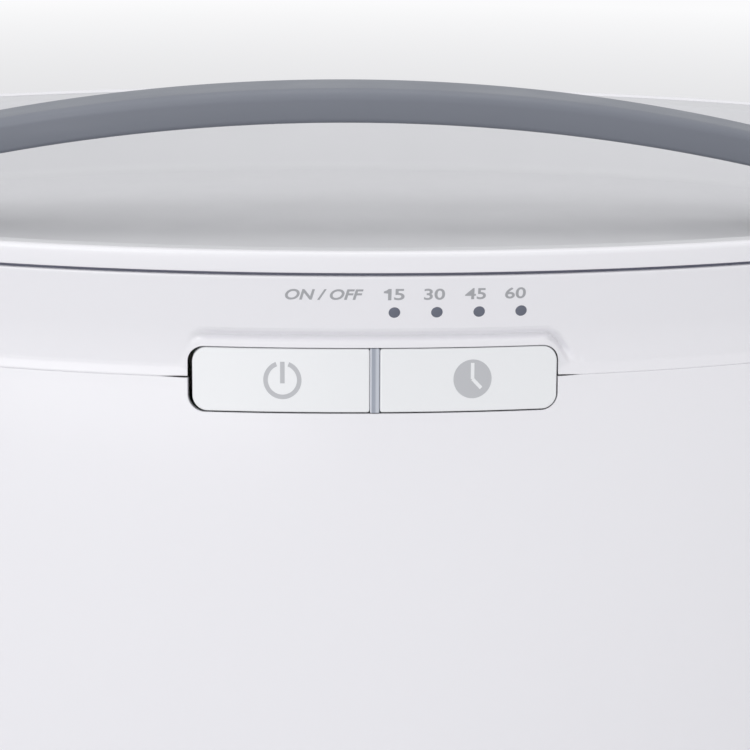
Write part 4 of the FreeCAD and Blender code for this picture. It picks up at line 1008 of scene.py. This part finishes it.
# %% Light
bpy.context.scene.view_settings.view_transform = "Standard"
world = bpy.data.worlds.new("studio")
bpy.context.scene.world = world
world.use_nodes = True
tree = world.node_tree
sky = fill_sockets(tree, tree.nodes["Background"], {"Color": (0.985, 0.99, 1.0, 1.0), "Strength": 0.74})
backdrop = fill_sockets(tree, tree.nodes.new("ShaderNodeBackground"), {"Color": BACKDROP, "Strength": 1.0})
seen = tree.nodes.new("ShaderNodeLightPath").outputs["Is Camera Ray"]
blend = fill_sockets(tree, tree.nodes.new("ShaderNodeMixShader"),
                     {0: seen, 1: sky.outputs[0], 2: backdrop.outputs[0]})
fill_sockets(tree, tree.nodes["World Output"], {"Surface": blend.outputs[0]})


def soft_lamp(name, place, target, width, height, power):
    """An area lamp that looks from its place to the target: its -Z axis points along target - place."""
    lamp = bpy.data.lights.new(name, "AREA")
    lamp.shape, lamp.size, lamp.size_y, lamp.energy = "RECTANGLE", width, height, power
    holder = add(name, lamp)
    way = Vector(target) - Vector(place)
    holder.matrix_world = Matrix.Translation(place) @ way.to_track_quat("-Z", "Y").to_matrix().to_4x4()
    return holder


lamps = (soft_lamp("key_lamp", (-0.88, -1.15, 1.6), (0, 0, 0.15), 0.9, 0.9, 8.0),
         soft_lamp("fill_lamp", (-0.8, -2.0, 0.24), (0, 0, 0.16), 1.4, 0.4, 5.0),
         soft_lamp("top_lamp", (-0.1, 0.25, 2.0), (0, 0, 0.17), 1.6, 1.2, 6.5))
print("lamps", [f"{lamp.name} {lamp.data.energy} W" for lamp in lamps])

# %% Camera
SENSOR, LENS = 36.0, 86.4
EYE = Vector((-18.4865, -455.9884, 270.2212))
PITCH, YAW, ROLL = math.radians(17.094), math.radians(3.1725), math.radians(0.727)
ahead = Vector((math.sin(YAW)*math.cos(PITCH), math.cos(YAW)*math.cos(PITCH), -math.sin(PITCH)))
level = Vector((math.cos(YAW), -math.sin(YAW), 0.0))
above = level.cross(ahead)
right = math.cos(ROLL)*level + math.sin(ROLL)*above
up = -math.sin(ROLL)*level + math.cos(ROLL)*above
camera = add("camera", bpy.data.cameras.new("camera"))
camera.data.sensor_width, camera.data.lens = SENSOR, LENS
camera.matrix_world = Matrix.Translation(EYE*MM) @ Matrix((right, up, -ahead)).transposed().to_4x4()
bpy.context.scene.camera = camera
print("lens", round(camera.data.lens, 1), "mm")

# %% Update the view layer and finish
bpy.context.view_layer.update()
